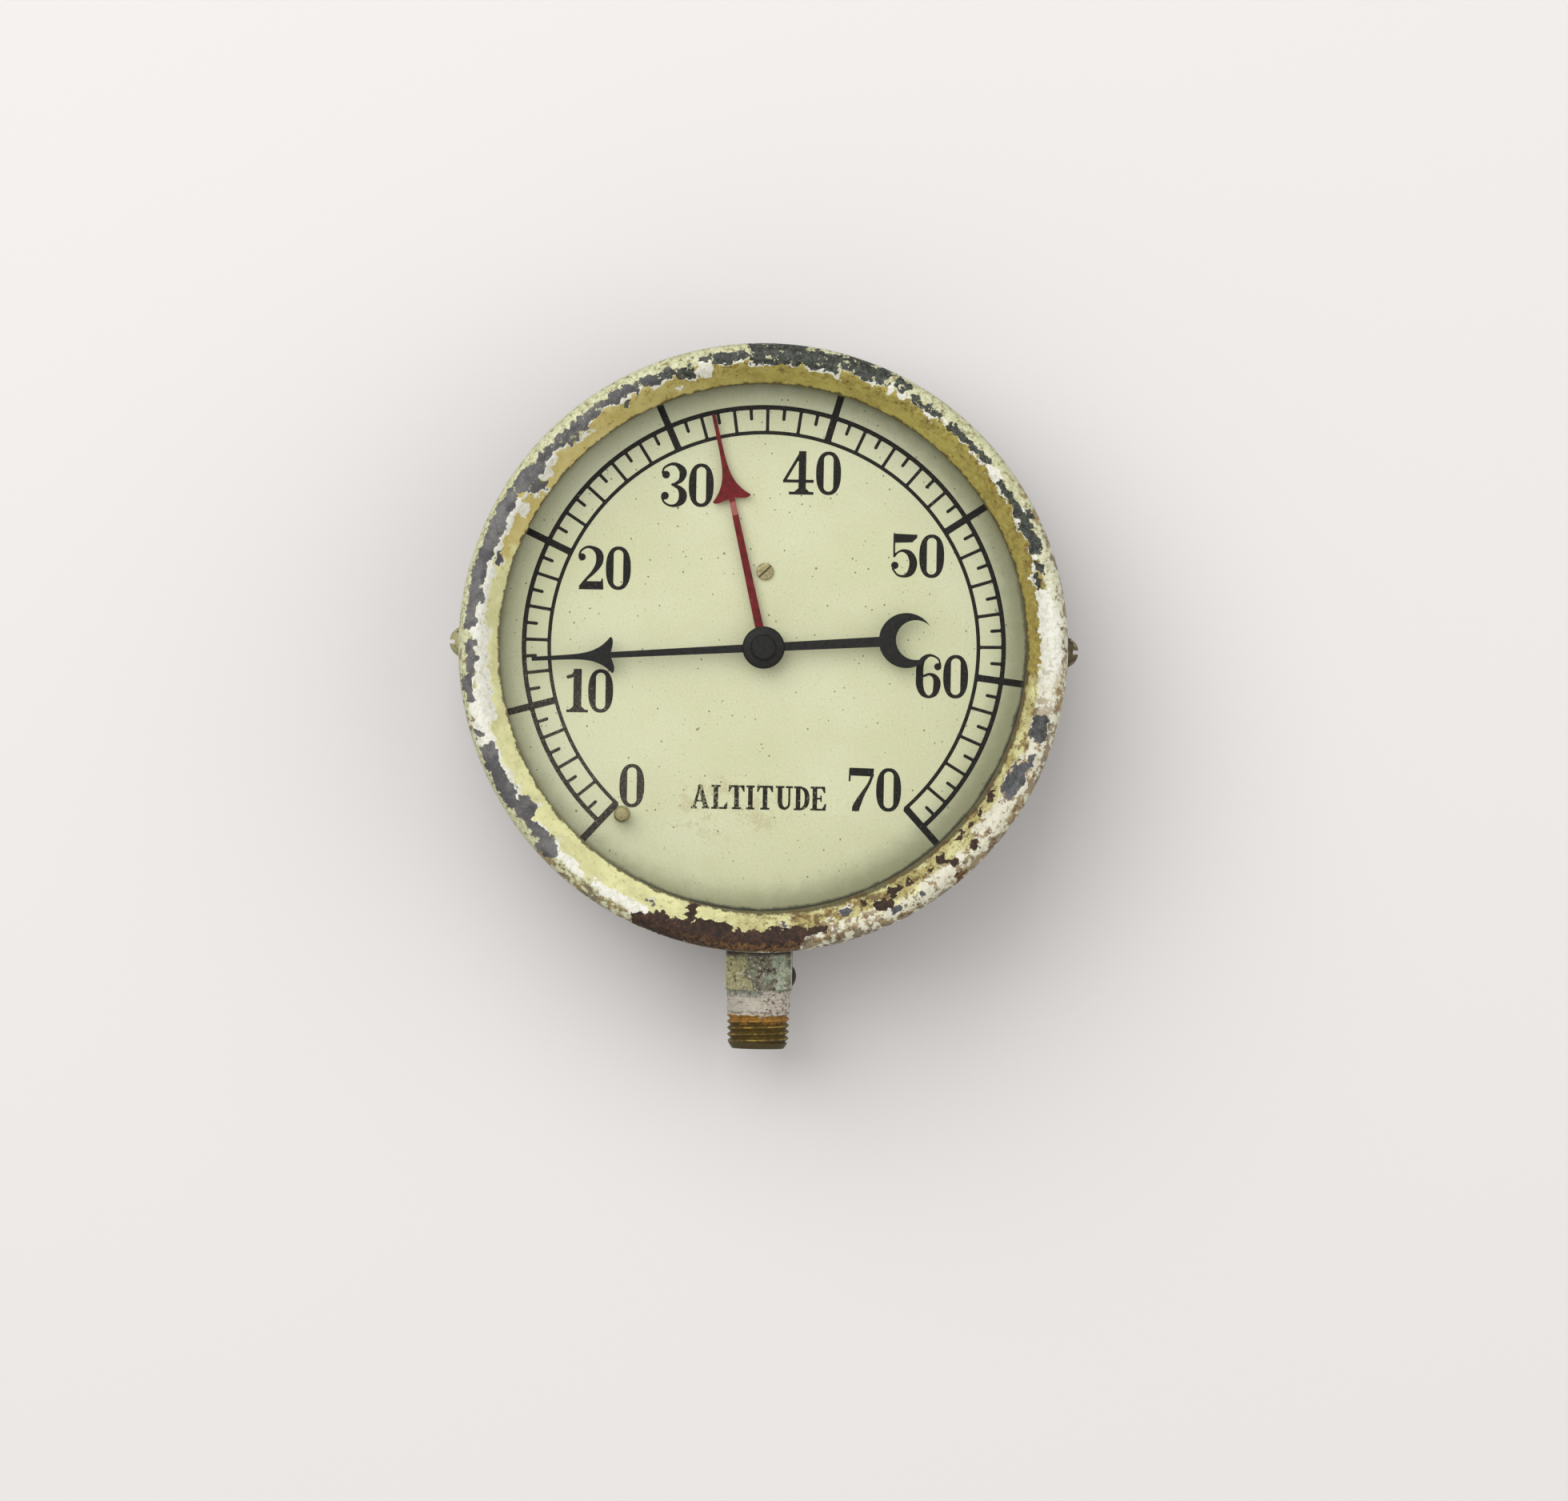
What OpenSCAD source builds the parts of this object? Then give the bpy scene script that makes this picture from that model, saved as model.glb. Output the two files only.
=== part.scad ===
// Altitude gauge of a hot-water heating system, with a bottom pipe connection.
// Millimetres. The origin is on the stem axis, at the hand-tight plane of the pipe thread.
// Up is +Z and the dial faces -Y.

/* [Stem] */
// Socket square, across flats
stem_sq = 14.6; // [13.5:0.1:17]
// Outside diameter of the pipe thread at the hand-tight plane
thread_d = 13.716; // [12:0.002:14]
// Turned chamfer of the square's lower corners, in degrees
square_chamfer = 12; // [5:1:30]
// Thread above the hand-tight plane, up to the square
thread_up = 7; // [5:0.1:9]
// Thread below the hand-tight plane, down to the end
thread_down = 5.8; // [4:0.1:8]
// Chamfer at the thread's end
thread_chamfer = 1.2; // [0.5:0.1:2]
// Pressure bore
bore_d = 5; // [3:0.1:6]
// Height of the dial's centre above the hand-tight plane
centre_h = 82.3; // [80:0.1:100]
// Height of the plug screw above the square's lower face
plug_h = 3.1; // [2.5:0.1:5]

/* [Case] */
// Diameter of the dial opening
opening_d = 114.3; // [110:0.1:125]
// Depth of the case behind the stem axis
case_back = 15; // [13:0.1:20]
// Wall of the case
case_wall = 3; // [2:0.1:4]
// Radius of the case's back corner
case_corner = 7; // [4:0.1:9]
// Wall of the rim around the glass seat
rim_wall = 2.8; // [2:0.1:3.5]
// Width of the ledge that carries the dial
ledge_w = 3; // [2:0.1:4]

/* [Ring and glass] */
// Width of the ring, from the opening to the outside
ring_w = 8.95; // [8:0.05:10.5]
// Sheet thickness of the ring
ring_t = 1.2; // [0.8:0.1:1.5]
// Outer radius of the ring's rolled bead
bead_r = 3; // [2.5:0.1:3.5]
// Height of the bead's crest above the glass
bead_h = 5.5; // [5:0.1:7]
// Height of the lip's edge above the glass
lip_h = 1; // [0.6:0.1:1.5]
// Depth of the ring's skirt behind the dial's back
skirt_l = 6.5; // [5.5:0.1:9]
// Glass thickness
glass_t = 2.5; // [2:0.1:4]
// Gasket thickness
gasket_t = 1; // [0.5:0.1:2]
// Radius of the ring screws' heads
ring_screw_head_r = 3.3; // [2.5:0.1:4]
// Height of the ring screws' heads
ring_screw_head_h = 2.4; // [1.5:0.1:3]

/* [Dial and hands] */
// Dial thickness
dial_t = 1; // [0.6:0.1:1.5]
// Angle of the first mark, clockwise from straight down
scale_start = 42.4; // [38:0.1:46]
// Angle of the pointer at rest, clockwise from straight down
pointer_a = 86.2; // [60:0.1:120]
// Angle of the set hand at rest, clockwise from straight down
set_a = 166.9; // [120:0.1:240]
// Thickness of the hands
hand_t = 0.5; // [0.3:0.05:0.6]
// Length of the pointer
pointer_r = 50.5; // [46:0.1:52]
// Length of the set hand
set_r = 51.75; // [46:0.05:53]
// Radius of the spearheads' barbs from the centre
barb_r = 33.2; // [30:0.1:36]
// Half width of the pointer's spearhead
pointer_barb = 3.95; // [3:0.05:5]
// Half width of the set hand's spearhead
set_barb = 4.2; // [3:0.05:5]
// Outer radius of the crescent tail
crescent_r = 6; // [5:0.1:7]
// Distance of the crescent from the centre
crescent_d = 31.1; // [28:0.1:33]
// Radius of the pointer's hub
hub_r = 4.6; // [4.4:0.1:6]
// Radius of the stop pin
stop_r = 1.75; // [1.2:0.05:2]
// Distance of the stop pin from the centre
stop_d = 47.6; // [44:0.1:48.5]
// Height of the dial screw above the centre
dial_screw_h = 16.5; // [14:0.1:18]
// Radius of the dial screw's head
dial_screw_r = 1.85; // [1.5:0.05:2.5]

/* [Movement] */
// Gear module
gear_m = 0.4; // [0.38:0.01:0.42]
// Teeth of the pinion
pinion_n = 12; // [11:1:13]
// Teeth of the sector's full circle
sector_n = 120; // [114:2:126]
// Direction from the pinion to the sector arbor
sector_dir = -52; // [-56:1:-48]
// Lever from the sector arbor to the tail pin
lever = 9.5; // [9:0.1:10]
// Direction of the lever at half scale
lever_dir = -32.14; // [-36:0.01:-30]
// Length of the link between its pins
link_l = 11; // [10:0.1:12]
// Thickness of the back plate
back_plate_t = 1.5; // [1:0.1:2]
// Thickness of the front plate
front_plate_t = 1.2; // [1:0.1:1.5]
// Space between the plates
plate_gap = 5; // [5:0.1:6]
// Height of the dial's back above the front plate
post_l = 2; // [1.6:0.1:3]
// Radius of the pinion arbor
arbor_r = 1; // [0.9:0.05:1.1]
// Radius of the pivots
pivot_r = 0.8; // [0.6:0.05:0.85]
// Radius of the link's pins
pin_r = 0.8; // [0.6:0.05:0.9]
// Running clearance of pivots and pins
run = 0.05; // [0.03:0.01:0.08]
// Play of the link on the tip pin
tip_play = 0.25; // [0.22:0.01:0.35]

/* [Bourdon tube] */
// Mean radius of the tube's coil
tube_r = 42; // [41:0.1:44]
// Width of the tube's section
tube_w = 12; // [10:0.1:12.4]
// Thickness of the tube's section
tube_t = 4.5; // [3.5:0.1:5]
// Wall of the tube
tube_wall = 0.5; // [0.4:0.05:0.8]
// Angle of the tube's root, clockwise from straight down
tube_root = 4; // [3:0.1:5]
// Angle of the tube's tip, clockwise from straight down
tube_end = 299; // [296:0.5:300]

/* [Hidden] */
$fn = 96;
fit = 0.15;
gap = 0.1;
eps = 0.01;

// Radii about the dial's axis
opening_r = opening_d / 2;
ring_r = opening_r + ring_w;
case_r = ring_r - ring_t - 2 * fit;
case_in_r = case_r - case_wall;
seat_r = case_r - rim_wall;
ledge_r = seat_r - ledge_w;
dial_r = seat_r - fit;
glass_in = 1;
glass_r = case_r - glass_in;

// Heights of the layers in front of the dial
set_rise = 1.3;
flange_t = 0.4;
hub_gap = 0.4;
hub_neck = 0.7;
hub_h = 1.6;
rim_rise = 6;
ledge_t = 4;

// Distances in front of the stem axis, from back to front
block_f = stem_sq / 2;
back_plate_f = block_f + back_plate_t;
front_plate_b = back_plate_f + plate_gap;
front_plate_f = front_plate_b + front_plate_t;
dial_b = front_plate_f + post_l;
dial_f = dial_b + dial_t;
set_b = dial_f + set_rise;
set_f = set_b + hand_t;
flange_f = set_f + gap + flange_t;
hub_b = flange_f + hub_gap;
pointer_b = hub_b + hub_neck;
pointer_f = pointer_b + hand_t;
hub_f = pointer_f + hub_h;
arbor_f = hub_f - hub_h / 2;
rim_f = dial_f + rim_rise;
glass_b = rim_f + gasket_t;
glass_f = glass_b + glass_t;
crest_f = glass_f + bead_h;
skirt_b = dial_b - skirt_l;
ring_screw_f = dial_b - ledge_t / 2;

// Layers of the movement between the plates
sector_rise = 1.4;
sector_t = 1.2;
pinion_over = 0.6;
link_t = 0.8;
pin_head_t = 0.8;
pin_head_r = 1.5;
spring_rise = 0.4;
spring_t = 0.8;
shake = 0.05;
pivot_in = 0.2;
sector_b = back_plate_f + sector_rise;
pinion_b = sector_b - pinion_over;
pinion_t = sector_t + 2 * pinion_over;
link_b = sector_b + sector_t + gap;
pin_head_b = link_b + link_t + gap;
spring_b = pinion_b + pinion_t + spring_rise;
pivot_b = block_f + pivot_in;
bearing_r = pivot_r + run;

// Gear train and linkage, seen from the front: right and up
pressure_a = 25;
addendum = 0.8 * gear_m;
dedendum = gear_m;
backlash = 0.12;
tooth_s = (PI * gear_m - backlash) / 2;
pinion_pr = gear_m * pinion_n / 2;
sector_pr = gear_m * sector_n / 2;
gear_ratio = sector_n / pinion_n;
sector_pitch = 360 / sector_n;
mid_turn = (180 - pointer_a) / gear_ratio;
sector_c = (pinion_pr + sector_pr) * toward(sector_dir);
mesh_dir = sector_dir + 180;
tail_dir = lever_dir - mid_turn;
tail_p = sector_c + lever * toward(tail_dir);
link_dir = lever_dir + 90;
tip_p = tail_p + link_l * toward(link_dir);
// Teeth on each side of the mesh point at rest: those that the scale's two ends bring round
teeth_low = -ceil((360 - scale_start - pointer_a) / gear_ratio / sector_pitch) - 2;
teeth_high = ceil((pointer_a - scale_start) / gear_ratio / sector_pitch) + 1;
sector_rim = 5;
sector_boss_r = 4;
spoke_w = 3;
spoke_in = 3;
tail_w = 3.4;
eye_r = 2.2;
rim_in_r = sector_pr - sector_rim;
link_w = 2.4;
link_eye_r = 2;

// Tube tip: its cap, and the lug that carries the link's pin
cap_a = 5;
lug_b = 1;
lug_t = 4.5;
lug_clear = 0.2;
pin_depth = 4;
lug_f = link_b - lug_clear;

// Spiral of the hairspring, on the arbor's collet
spring_step = 0.55;
spring_turns = 4;
spring_w = 0.2;
spring_clear = 0.15;
stud_w = 1.2;
collet_r = 2 * arbor_r;
spring_r = collet_r + spring_clear;
spring_end = spring_r + 2 * spring_turns * spring_step + spring_w / 2;

// Plates, pillars and the socket's block
plate_r = 4;
pillar_r = 2;
pillar_ps = [[-10, 5], [11, 9], [22, -8], [-8, -26]];
post_p = [0, dial_screw_h];
plate_ps = [pillar_ps[3], sector_c, pillar_ps[2], pillar_ps[1], post_p, pillar_ps[0]];
spigot_r = 1.2;
post_r = 2.2;
block_over = 4.75;
block_top = -tube_r + tube_t / 2 + block_over;
tongue_in = 0.8;
tongue_w = stem_sq - 2 * tongue_in;
tongue_l = 15;
tongue_low = -tube_r - tongue_l;
tube_seat_a = 15;
boss_r = 4;

// Screws: radius of the shank, radius and height of the head, depth in the piece that holds it
ring_screw_r = 1.7;
ring_screw_in = 0.5;
dial_screw_shank_r = 1;
dial_screw_head_h = 0.7;
dial_screw_bevel = 0.15;
dial_screw_slot = 0.4;
dial_screw_turn = 44;
dial_screw_depth = 1.4;
plate_screw_r = 0.9;
plate_screw_head_r = 1.8;
plate_screw_head_h = 1.1;
plate_screw_depth = 3;
movement_screw_r = 1.5;
movement_screw_head_r = 2.6;
movement_screw_head_h = 1.4;
case_screw_r = 1.5;
case_screw_head_r = 3;
case_screw_head_h = 1.8;
screw_depth = 3.8;
plug_r = 1.3;
plug_head_r = 2.2;
plug_head_h = 0.85;
plug_depth = 3;
// Places of the block's screws below the tube's coil
movement_screw_drop = 5.5;
movement_screw_pitch = 6.5;
case_screw_drop = 4.5;
case_screw_pitch = 9;
movement_screw_ps = [for (i = [0, 1]) [0, -tube_r - movement_screw_drop - i * movement_screw_pitch]];
case_screw_ps = [for (i = [0, 1]) [0, -tube_r - case_screw_drop - i * case_screw_pitch]];

// Set hand's bush, through the dial, and the spring washer around it
bush_clear = 0.4;
bush_bore_r = arbor_r + bush_clear;
bush_r = 2.5;
bush_body_r = 3.5;
bush_flange_r = 5;
bush_back_t = 0.8;
bush_lip = 0.9;
washer_t = 0.3;
washer_w = 1.9;
washer_seat = 0.5;

// Half widths of the hands: at the tip, along the shaft and at the hub
set_eye_r = 4;
set_tip = 0.45;
set_root = 0.95;
pointer_tip = 0.5;
pointer_root = 0.9;
shaft_half = 0.65;
tail_half = 1.15;
barb_dip = 0.55;
hub_wall = 0.6;
hub_bevel = 0.4;
hub_spigot_r = arbor_r + hub_wall;

// The pointer at the first mark lies against the stop pin
stop_shank_r = 1.2;
stop_over = 0.2;
stop_bevel = 0.4;
stop_gap_a = 0.1;
stop_a = scale_start - asin((stop_r + shaft_half) / stop_d) - stop_gap_a;
stop_p = stop_d * clock(stop_a);

// Point at a given direction, counter-clockwise from the right
function toward(a) = [cos(a), sin(a)];
// Point at a clock angle, clockwise from straight down
function clock(a) = [-sin(a), -cos(a)];
function involute(a) = tan(a) * 180 / PI - a;
// Half of a tooth's angle at radius r, for a gear of pitch radius p
function tooth_half(r, p) =
    let (base = p * cos(pressure_a))
    tooth_s / (2 * p) * 180 / PI + involute(pressure_a) - involute(acos(min(1, base / max(r, base))));
// One tooth's outline about direction a, from its root, over its tip and back
function tooth(a, p) =
    let (root = p - dedendum, tip = p + addendum, steps = 5)
    concat(
        [for (i = [0:steps]) let (r = root + (tip - root) * i / steps) r * toward(a - tooth_half(r, p))],
        [for (i = [steps:-1:0]) let (r = root + (tip - root) * i / steps) r * toward(a + tooth_half(r, p))]
    );
function arc(c, r, a0, a1, n) = [for (i = [0:n]) c + r * toward(a0 + (a1 - a0) * i / n)];

// Dial frame: right, up and forward from the dial's axis
module face() {
    translate([0, 0, centre_h]) rotate([90, 0, 0]) children();
}

module rod(p, b, f, r) {
    translate([p[0], p[1], b]) cylinder(h = f - b, r = r);
}

// Rounded plate around a convex row of points, counter-clockwise
module rounded_plate(points, r) {
    n = len(points);
    polygon([
        for (i = [0:n - 1])
            let (a = points[i], b = points[(i + 1) % n], d = (b - a) / norm(b - a))
            each [a + r * [d[1], -d[0]], b + r * [d[1], -d[0]]]
    ]);
    for (p = points) translate(p) circle(r);
}

module bar(a, b, w) {
    d = (b - a) / norm(b - a);
    side = w / 2 * [d[1], -d[0]];
    polygon([a + side, b + side, b - side, a - side]);
}

// Slotted screw with a domed head on the plane z = 0 and its shank below
module screw(head_r, head_h, shank_r, shank_l) {
    dome_r = (head_r * head_r + head_h * head_h) / (2 * head_h);
    slot_w = head_r * 0.28;
    difference() {
        intersection() {
            translate([0, 0, head_h - dome_r]) sphere(dome_r);
            translate([-head_r, -head_r, 0]) cube([2 * head_r, 2 * head_r, head_h]);
        }
        translate([-head_r, -slot_w / 2, head_h * 0.5]) cube([2 * head_r, slot_w, head_h]);
    }
    translate([0, 0, -shank_l]) cylinder(h = shank_l, r = shank_r);
}

// Slotted screw with a flat, bevelled head on the plane z = 0 and its shank below
module flat_screw(head_r, head_h, bevel, slot_w, shank_r, shank_l) {
    difference() {
        rotate_extrude() polygon([
            [0, 0], [head_r, 0], [head_r, head_h - bevel], [head_r - bevel, head_h], [0, head_h]
        ]);
        translate([-head_r, -slot_w / 2, head_h / 2]) cube([2 * head_r, slot_w, head_h]);
    }
    translate([0, 0, -shank_l]) cylinder(h = shank_l, r = shank_r);
}

// Section of the tube, with its long side along the dial's axis
module tube_section(w, t) {
    for (s = [-1, 1]) translate([tube_r, s * (w - t) / 2]) circle(t / 2);
    translate([tube_r - t / 2, -(w - t) / 2]) square([t, w - t]);
}

// Turns a section about the dial's axis between two clock angles
module swept(from, to) {
    rotate(270 - to) rotate_extrude(angle = to - from) children();
}

module ring_screw_places() {
    for (s = [0, 1]) mirror([s, 0, 0]) translate([0, 0, ring_screw_f]) rotate([0, 90, 0]) children();
}

module case() {
    inner_corner = case_corner - case_wall;
    color("dimgray") face() difference() {
        union() {
            rotate_extrude() polygon(concat(
                [[0, -case_back]],
                arc([case_r - case_corner, case_corner - case_back], case_corner, -90, 0, 8),
                [
                    [case_r, rim_f], [seat_r, rim_f], [seat_r, dial_b], [ledge_r, dial_b],
                    [ledge_r, dial_b - ledge_t], [case_in_r, dial_b - ledge_t - case_in_r + ledge_r]
                ],
                arc([case_in_r - inner_corner, case_corner - case_back], inner_corner, 0, -90, 8),
                [[0, case_wall - case_back]]
            ));
            for (p = case_screw_ps) rod(p, case_wall / 2 - case_back, -block_f, boss_r);
        }
        for (p = case_screw_ps) rod(p, -case_back - eps, -block_f + eps, case_screw_r + fit);
        ring_screw_places() cylinder(h = case_r + eps, r = ring_screw_r);
        translate([-block_f - fit, -case_r - eps, -block_f - fit])
            cube([stem_sq + 2 * fit, case_r / 3, stem_sq + 2 * fit]);
        // Relief over the plug's head, for a case that comes down that far
        translate([block_f - eps, thread_up - centre_h, -plug_head_r - fit])
            cube([plug_head_h + fit, plug_h + plug_head_r + fit, 2 * (plug_head_r + fit)]);
    }
}

module ring() {
    bead_c = [ring_r - bead_r, crest_f - bead_r];
    lip = [opening_r, glass_f + lip_h];
    to_lip = lip - bead_c;
    // Direction in which the lip's slope is tangent to the bead
    slope_a = 360 + atan2(to_lip[1], to_lip[0]) - acos(bead_r / norm(to_lip));
    in_r = bead_r - ring_t;
    slope_end = bead_c + in_r * toward(slope_a);
    foot_r = slope_end[0] - (slope_end[1] - glass_f) / tan(slope_a - 90);
    color("khaki") face() difference() {
        rotate_extrude() polygon(concat(
            [[opening_r, glass_f], lip],
            arc(bead_c, bead_r, slope_a, 0, 14),
            [[ring_r, skirt_b], [ring_r - ring_t, skirt_b]],
            arc(bead_c, in_r, 0, slope_a, 14),
            [[foot_r, glass_f]]
        ));
        ring_screw_places() cylinder(h = ring_r + eps, r = ring_screw_r + fit);
    }
}

module ring_screws() {
    color("darkkhaki") face() ring_screw_places() translate([0, 0, ring_r])
        screw(ring_screw_head_r, ring_screw_head_h, ring_screw_r, ring_r - ledge_r - ring_screw_in);
}

module glass() {
    color("lightcyan", 0.3) face() rod([0, 0], glass_b, glass_f, glass_r);
}

module glass_gasket() {
    color("saddlebrown") face() difference() {
        rod([0, 0], rim_f, glass_b, glass_r);
        rod([0, 0], rim_f - eps, glass_b + eps, seat_r);
    }
}

module dial() {
    color("beige") face() difference() {
        rod([0, 0], dial_b, dial_f, dial_r);
        rod([0, 0], dial_b - eps, dial_f + eps, bush_body_r);
        rod(post_p, dial_b - eps, dial_f + eps, dial_screw_shank_r);
        rod(stop_p, dial_b - eps, dial_f + eps, stop_shank_r);
    }
}

module dial_screw() {
    color("goldenrod") face() translate([post_p[0], post_p[1], dial_f])
        rotate(dial_screw_turn) flat_screw(dial_screw_r, dial_screw_head_h, dial_screw_bevel, dial_screw_slot,
            dial_screw_shank_r, dial_t + dial_screw_depth);
}

module stop_pin() {
    stop_f = pointer_f + stop_over;
    color("goldenrod") face() {
        rod(stop_p, dial_b, dial_f, stop_shank_r);
        rod(stop_p, dial_f, stop_f, stop_r);
        translate([stop_p[0], stop_p[1], stop_f]) cylinder(h = stop_bevel, r1 = stop_r, r2 = stop_r - stop_bevel);
    }
}

module set_hand_bush() {
    color("goldenrod") face() difference() {
        union() {
            rod([0, 0], dial_b - bush_back_t, dial_b, bush_flange_r);
            rod([0, 0], dial_b - eps, dial_f, bush_body_r);
            rod([0, 0], dial_f - eps, flange_f, bush_r);
            rod([0, 0], set_f + gap, flange_f, bush_r + bush_lip);
        }
        rod([0, 0], dial_b - bush_back_t - eps, flange_f + eps, bush_bore_r);
    }
}

module set_hand_washer() {
    in_r = bush_r + gap;
    out_r = bush_r + washer_w;
    color("silver") face() rotate_extrude() polygon([
        [in_r, set_b - washer_t], [in_r, set_b], [in_r + washer_seat, set_b],
        [out_r, dial_f + washer_t], [out_r, dial_f], [out_r - washer_seat, dial_f]
    ]);
}

// Spearhead and shaft of a hand that points up, from the hub's centre to the tip.
// The flare follows a sixth power from the tip to the barbs.
module spear(tip_r, tip_half, barb_half, hub_half) {
    flare = 6;
    right = concat(
        [[hub_half, 0], [shaft_half, barb_r]],
        [for (k = [[0.36, 0.45], [0.55, 0.82], [0.72, 1], [0.88, 0.89], [0.97, 0.55]])
            [barb_half * k[0], barb_r - barb_dip * k[1]]],
        [for (i = [0:10]) let (s = 1 - 0.5 * pow(i / 10, 1.5))
            [tip_half + (barb_half - tip_half) * pow(s, flare), tip_r - (tip_r - barb_r) * s]],
        [[tip_half, tip_r - (tip_r - barb_r) * 0.35], [tip_half * 0.9, tip_r]]
    );
    left = [for (i = [len(right) - 1:-1:0]) [-right[i][0], right[i][1]]];
    polygon(concat(right, left));
}

module set_hand() {
    color("firebrick") face() rotate(180 - set_a) translate([0, 0, set_b]) linear_extrude(hand_t) difference() {
        union() {
            spear(set_r, set_tip, set_barb, set_root);
            circle(set_eye_r);
        }
        circle(bush_r + run);
    }
}

module pointer_hand() {
    horn_r = crescent_r * 0.72;
    color("black") face() rotate(180 - pointer_a) translate([0, 0, pointer_b]) linear_extrude(hand_t) difference() {
        union() {
            spear(pointer_r, pointer_tip, pointer_barb, pointer_root);
            circle(hub_r - hub_wall);
            polygon([
                [pointer_root, 0], [-pointer_root, 0], [-tail_half, -crescent_d], [tail_half, -crescent_d]
            ]);
            translate([0, -crescent_d]) circle(crescent_r);
        }
        translate([0, -crescent_d - crescent_r * 0.34]) circle(horn_r);
        circle(hub_spigot_r);
    }
}

// The hub's front steps up to a raised centre
module pointer_hub() {
    neck_r = hub_spigot_r + hub_wall;
    color("black") face() rotate_extrude() polygon([
        [arbor_r, hub_b], [neck_r, hub_b], [neck_r, pointer_b], [hub_spigot_r, pointer_b],
        [hub_spigot_r, pointer_f], [hub_r, pointer_f], [hub_r, pointer_f + 0.38 * hub_h],
        [hub_r - hub_bevel, pointer_f + 0.56 * hub_h], [0.62 * hub_r, pointer_f + 0.69 * hub_h],
        [0.56 * hub_r, pointer_f + 0.91 * hub_h], [0.5 * hub_r, hub_f], [0, hub_f],
        [0, arbor_f], [arbor_r, arbor_f]
    ]);
}

module pinion_arbor() {
    color("silver") face() {
        rod([0, 0], pivot_b, back_plate_f + shake + eps, pivot_r);
        rod([0, 0], back_plate_f + shake, arbor_f, arbor_r);
        rod([0, 0], pinion_b + pinion_t + gap, spring_b + spring_t + gap, collet_r);
        translate([0, 0, pinion_b]) linear_extrude(pinion_t)
            polygon([for (i = [0:pinion_n - 1]) each tooth(sector_dir + (i + 0.5) * 360 / pinion_n, pinion_pr)]);
    }
}

// Spiral of half turns, whose centres alternate between the axis and one step beside it
module hairspring() {
    color("steelblue") face() for (k = [0:2 * spring_turns - 1])
        translate([k % 2 * spring_step, 0, spring_b]) rotate(k % 2 * 180) rotate_extrude(angle = 180)
            translate([spring_r + k * spring_step - spring_w / 2, 0]) square([spring_w, spring_t]);
}

module sector_gear() {
    low_a = mesh_dir + (teeth_low - 0.5) * sector_pitch;
    high_a = mesh_dir + (teeth_high + 0.5) * sector_pitch;
    color("goldenrod") face() translate([sector_c[0], sector_c[1], sector_b]) linear_extrude(sector_t) difference() {
        union() {
            polygon(concat(
                [for (i = [teeth_low:teeth_high]) each tooth(mesh_dir + i * sector_pitch, sector_pr)],
                arc([0, 0], rim_in_r, high_a, low_a, 12)
            ));
            for (a = [low_a + spoke_in, high_a - spoke_in])
                bar([0, 0], (rim_in_r + sector_rim / 5) * toward(a), spoke_w);
            bar([0, 0], tail_p - sector_c, tail_w);
            translate(tail_p - sector_c) circle(eye_r);
            circle(sector_boss_r);
        }
        circle(spigot_r);
        translate(tail_p - sector_c) circle(pin_r);
    }
}

module sector_arbor() {
    color("silver") face() {
        rod(sector_c, pivot_b, front_plate_f, pivot_r);
        rod(sector_c, back_plate_f + shake, front_plate_b - shake, spigot_r);
    }
}

module headed_pin(p, b) {
    rod(p, b, pin_head_b + eps, pin_r);
    rod(p, pin_head_b, pin_head_b + pin_head_t, pin_head_r);
}

module tail_pin() {
    color("silver") face() headed_pin(tail_p, sector_b);
}

module link() {
    color("goldenrod") face() translate([0, 0, link_b]) linear_extrude(link_t) difference() {
        union() {
            bar(tail_p, tip_p, link_w);
            translate(tail_p) circle(link_eye_r);
            translate(tip_p) circle(link_eye_r);
        }
        translate(tail_p) circle(pin_r + run);
        translate(tip_p) circle(pin_r + tip_play);
    }
}

module tube_tip() {
    color("goldenrod") face() difference() {
        union() {
            swept(tube_end, tube_end + cap_a) tube_section(tube_w, tube_t);
            translate([0, 0, lug_b]) linear_extrude(lug_t) bar(tip_p, tube_r * clock(tube_end + cap_a / 2), tail_w);
            rod(tip_p, lug_b, lug_f, eye_r);
        }
        rod(tip_p, lug_f - pin_depth, lug_f + eps, pin_r);
    }
}

module tip_pin() {
    color("silver") face() headed_pin(tip_p, lug_f - pin_depth);
}

module bourdon_tube() {
    color("goldenrod") face() swept(tube_root, tube_end) difference() {
        tube_section(tube_w, tube_t);
        tube_section(tube_w - 2 * tube_wall, tube_t - 2 * tube_wall);
    }
}

module back_plate() {
    color("goldenrod") face() difference() {
        translate([0, 0, block_f]) linear_extrude(back_plate_t) union() {
            rounded_plate(plate_ps, plate_r);
            translate([-tongue_w / 2, tongue_low]) square([tongue_w, sector_c[1] - tongue_low]);
        }
        rod([0, 0], block_f - eps, back_plate_f + eps, bearing_r);
        rod(sector_c, block_f - eps, back_plate_f + eps, bearing_r);
        for (p = pillar_ps) rod(p, block_f - eps, back_plate_f + eps, spigot_r);
        for (p = movement_screw_ps) rod(p, block_f - eps, back_plate_f + eps, movement_screw_r);
    }
}

module front_plate() {
    color("goldenrod") face() {
        difference() {
            translate([0, 0, front_plate_b]) linear_extrude(front_plate_t) rounded_plate(plate_ps, plate_r);
            rod([0, 0], front_plate_b - eps, front_plate_f + eps, arbor_r + run);
            rod(sector_c, front_plate_b - eps, front_plate_f + eps, bearing_r);
            for (p = pillar_ps) rod(p, front_plate_b - eps, front_plate_f + eps, plate_screw_r);
            rod(post_p, front_plate_b - eps, front_plate_f + eps, spigot_r);
        }
        // Stud of the hairspring's outer end
        translate([spring_end, -stud_w / 2, spring_b]) cube([stud_w, stud_w, front_plate_b - spring_b + eps]);
    }
}

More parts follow.
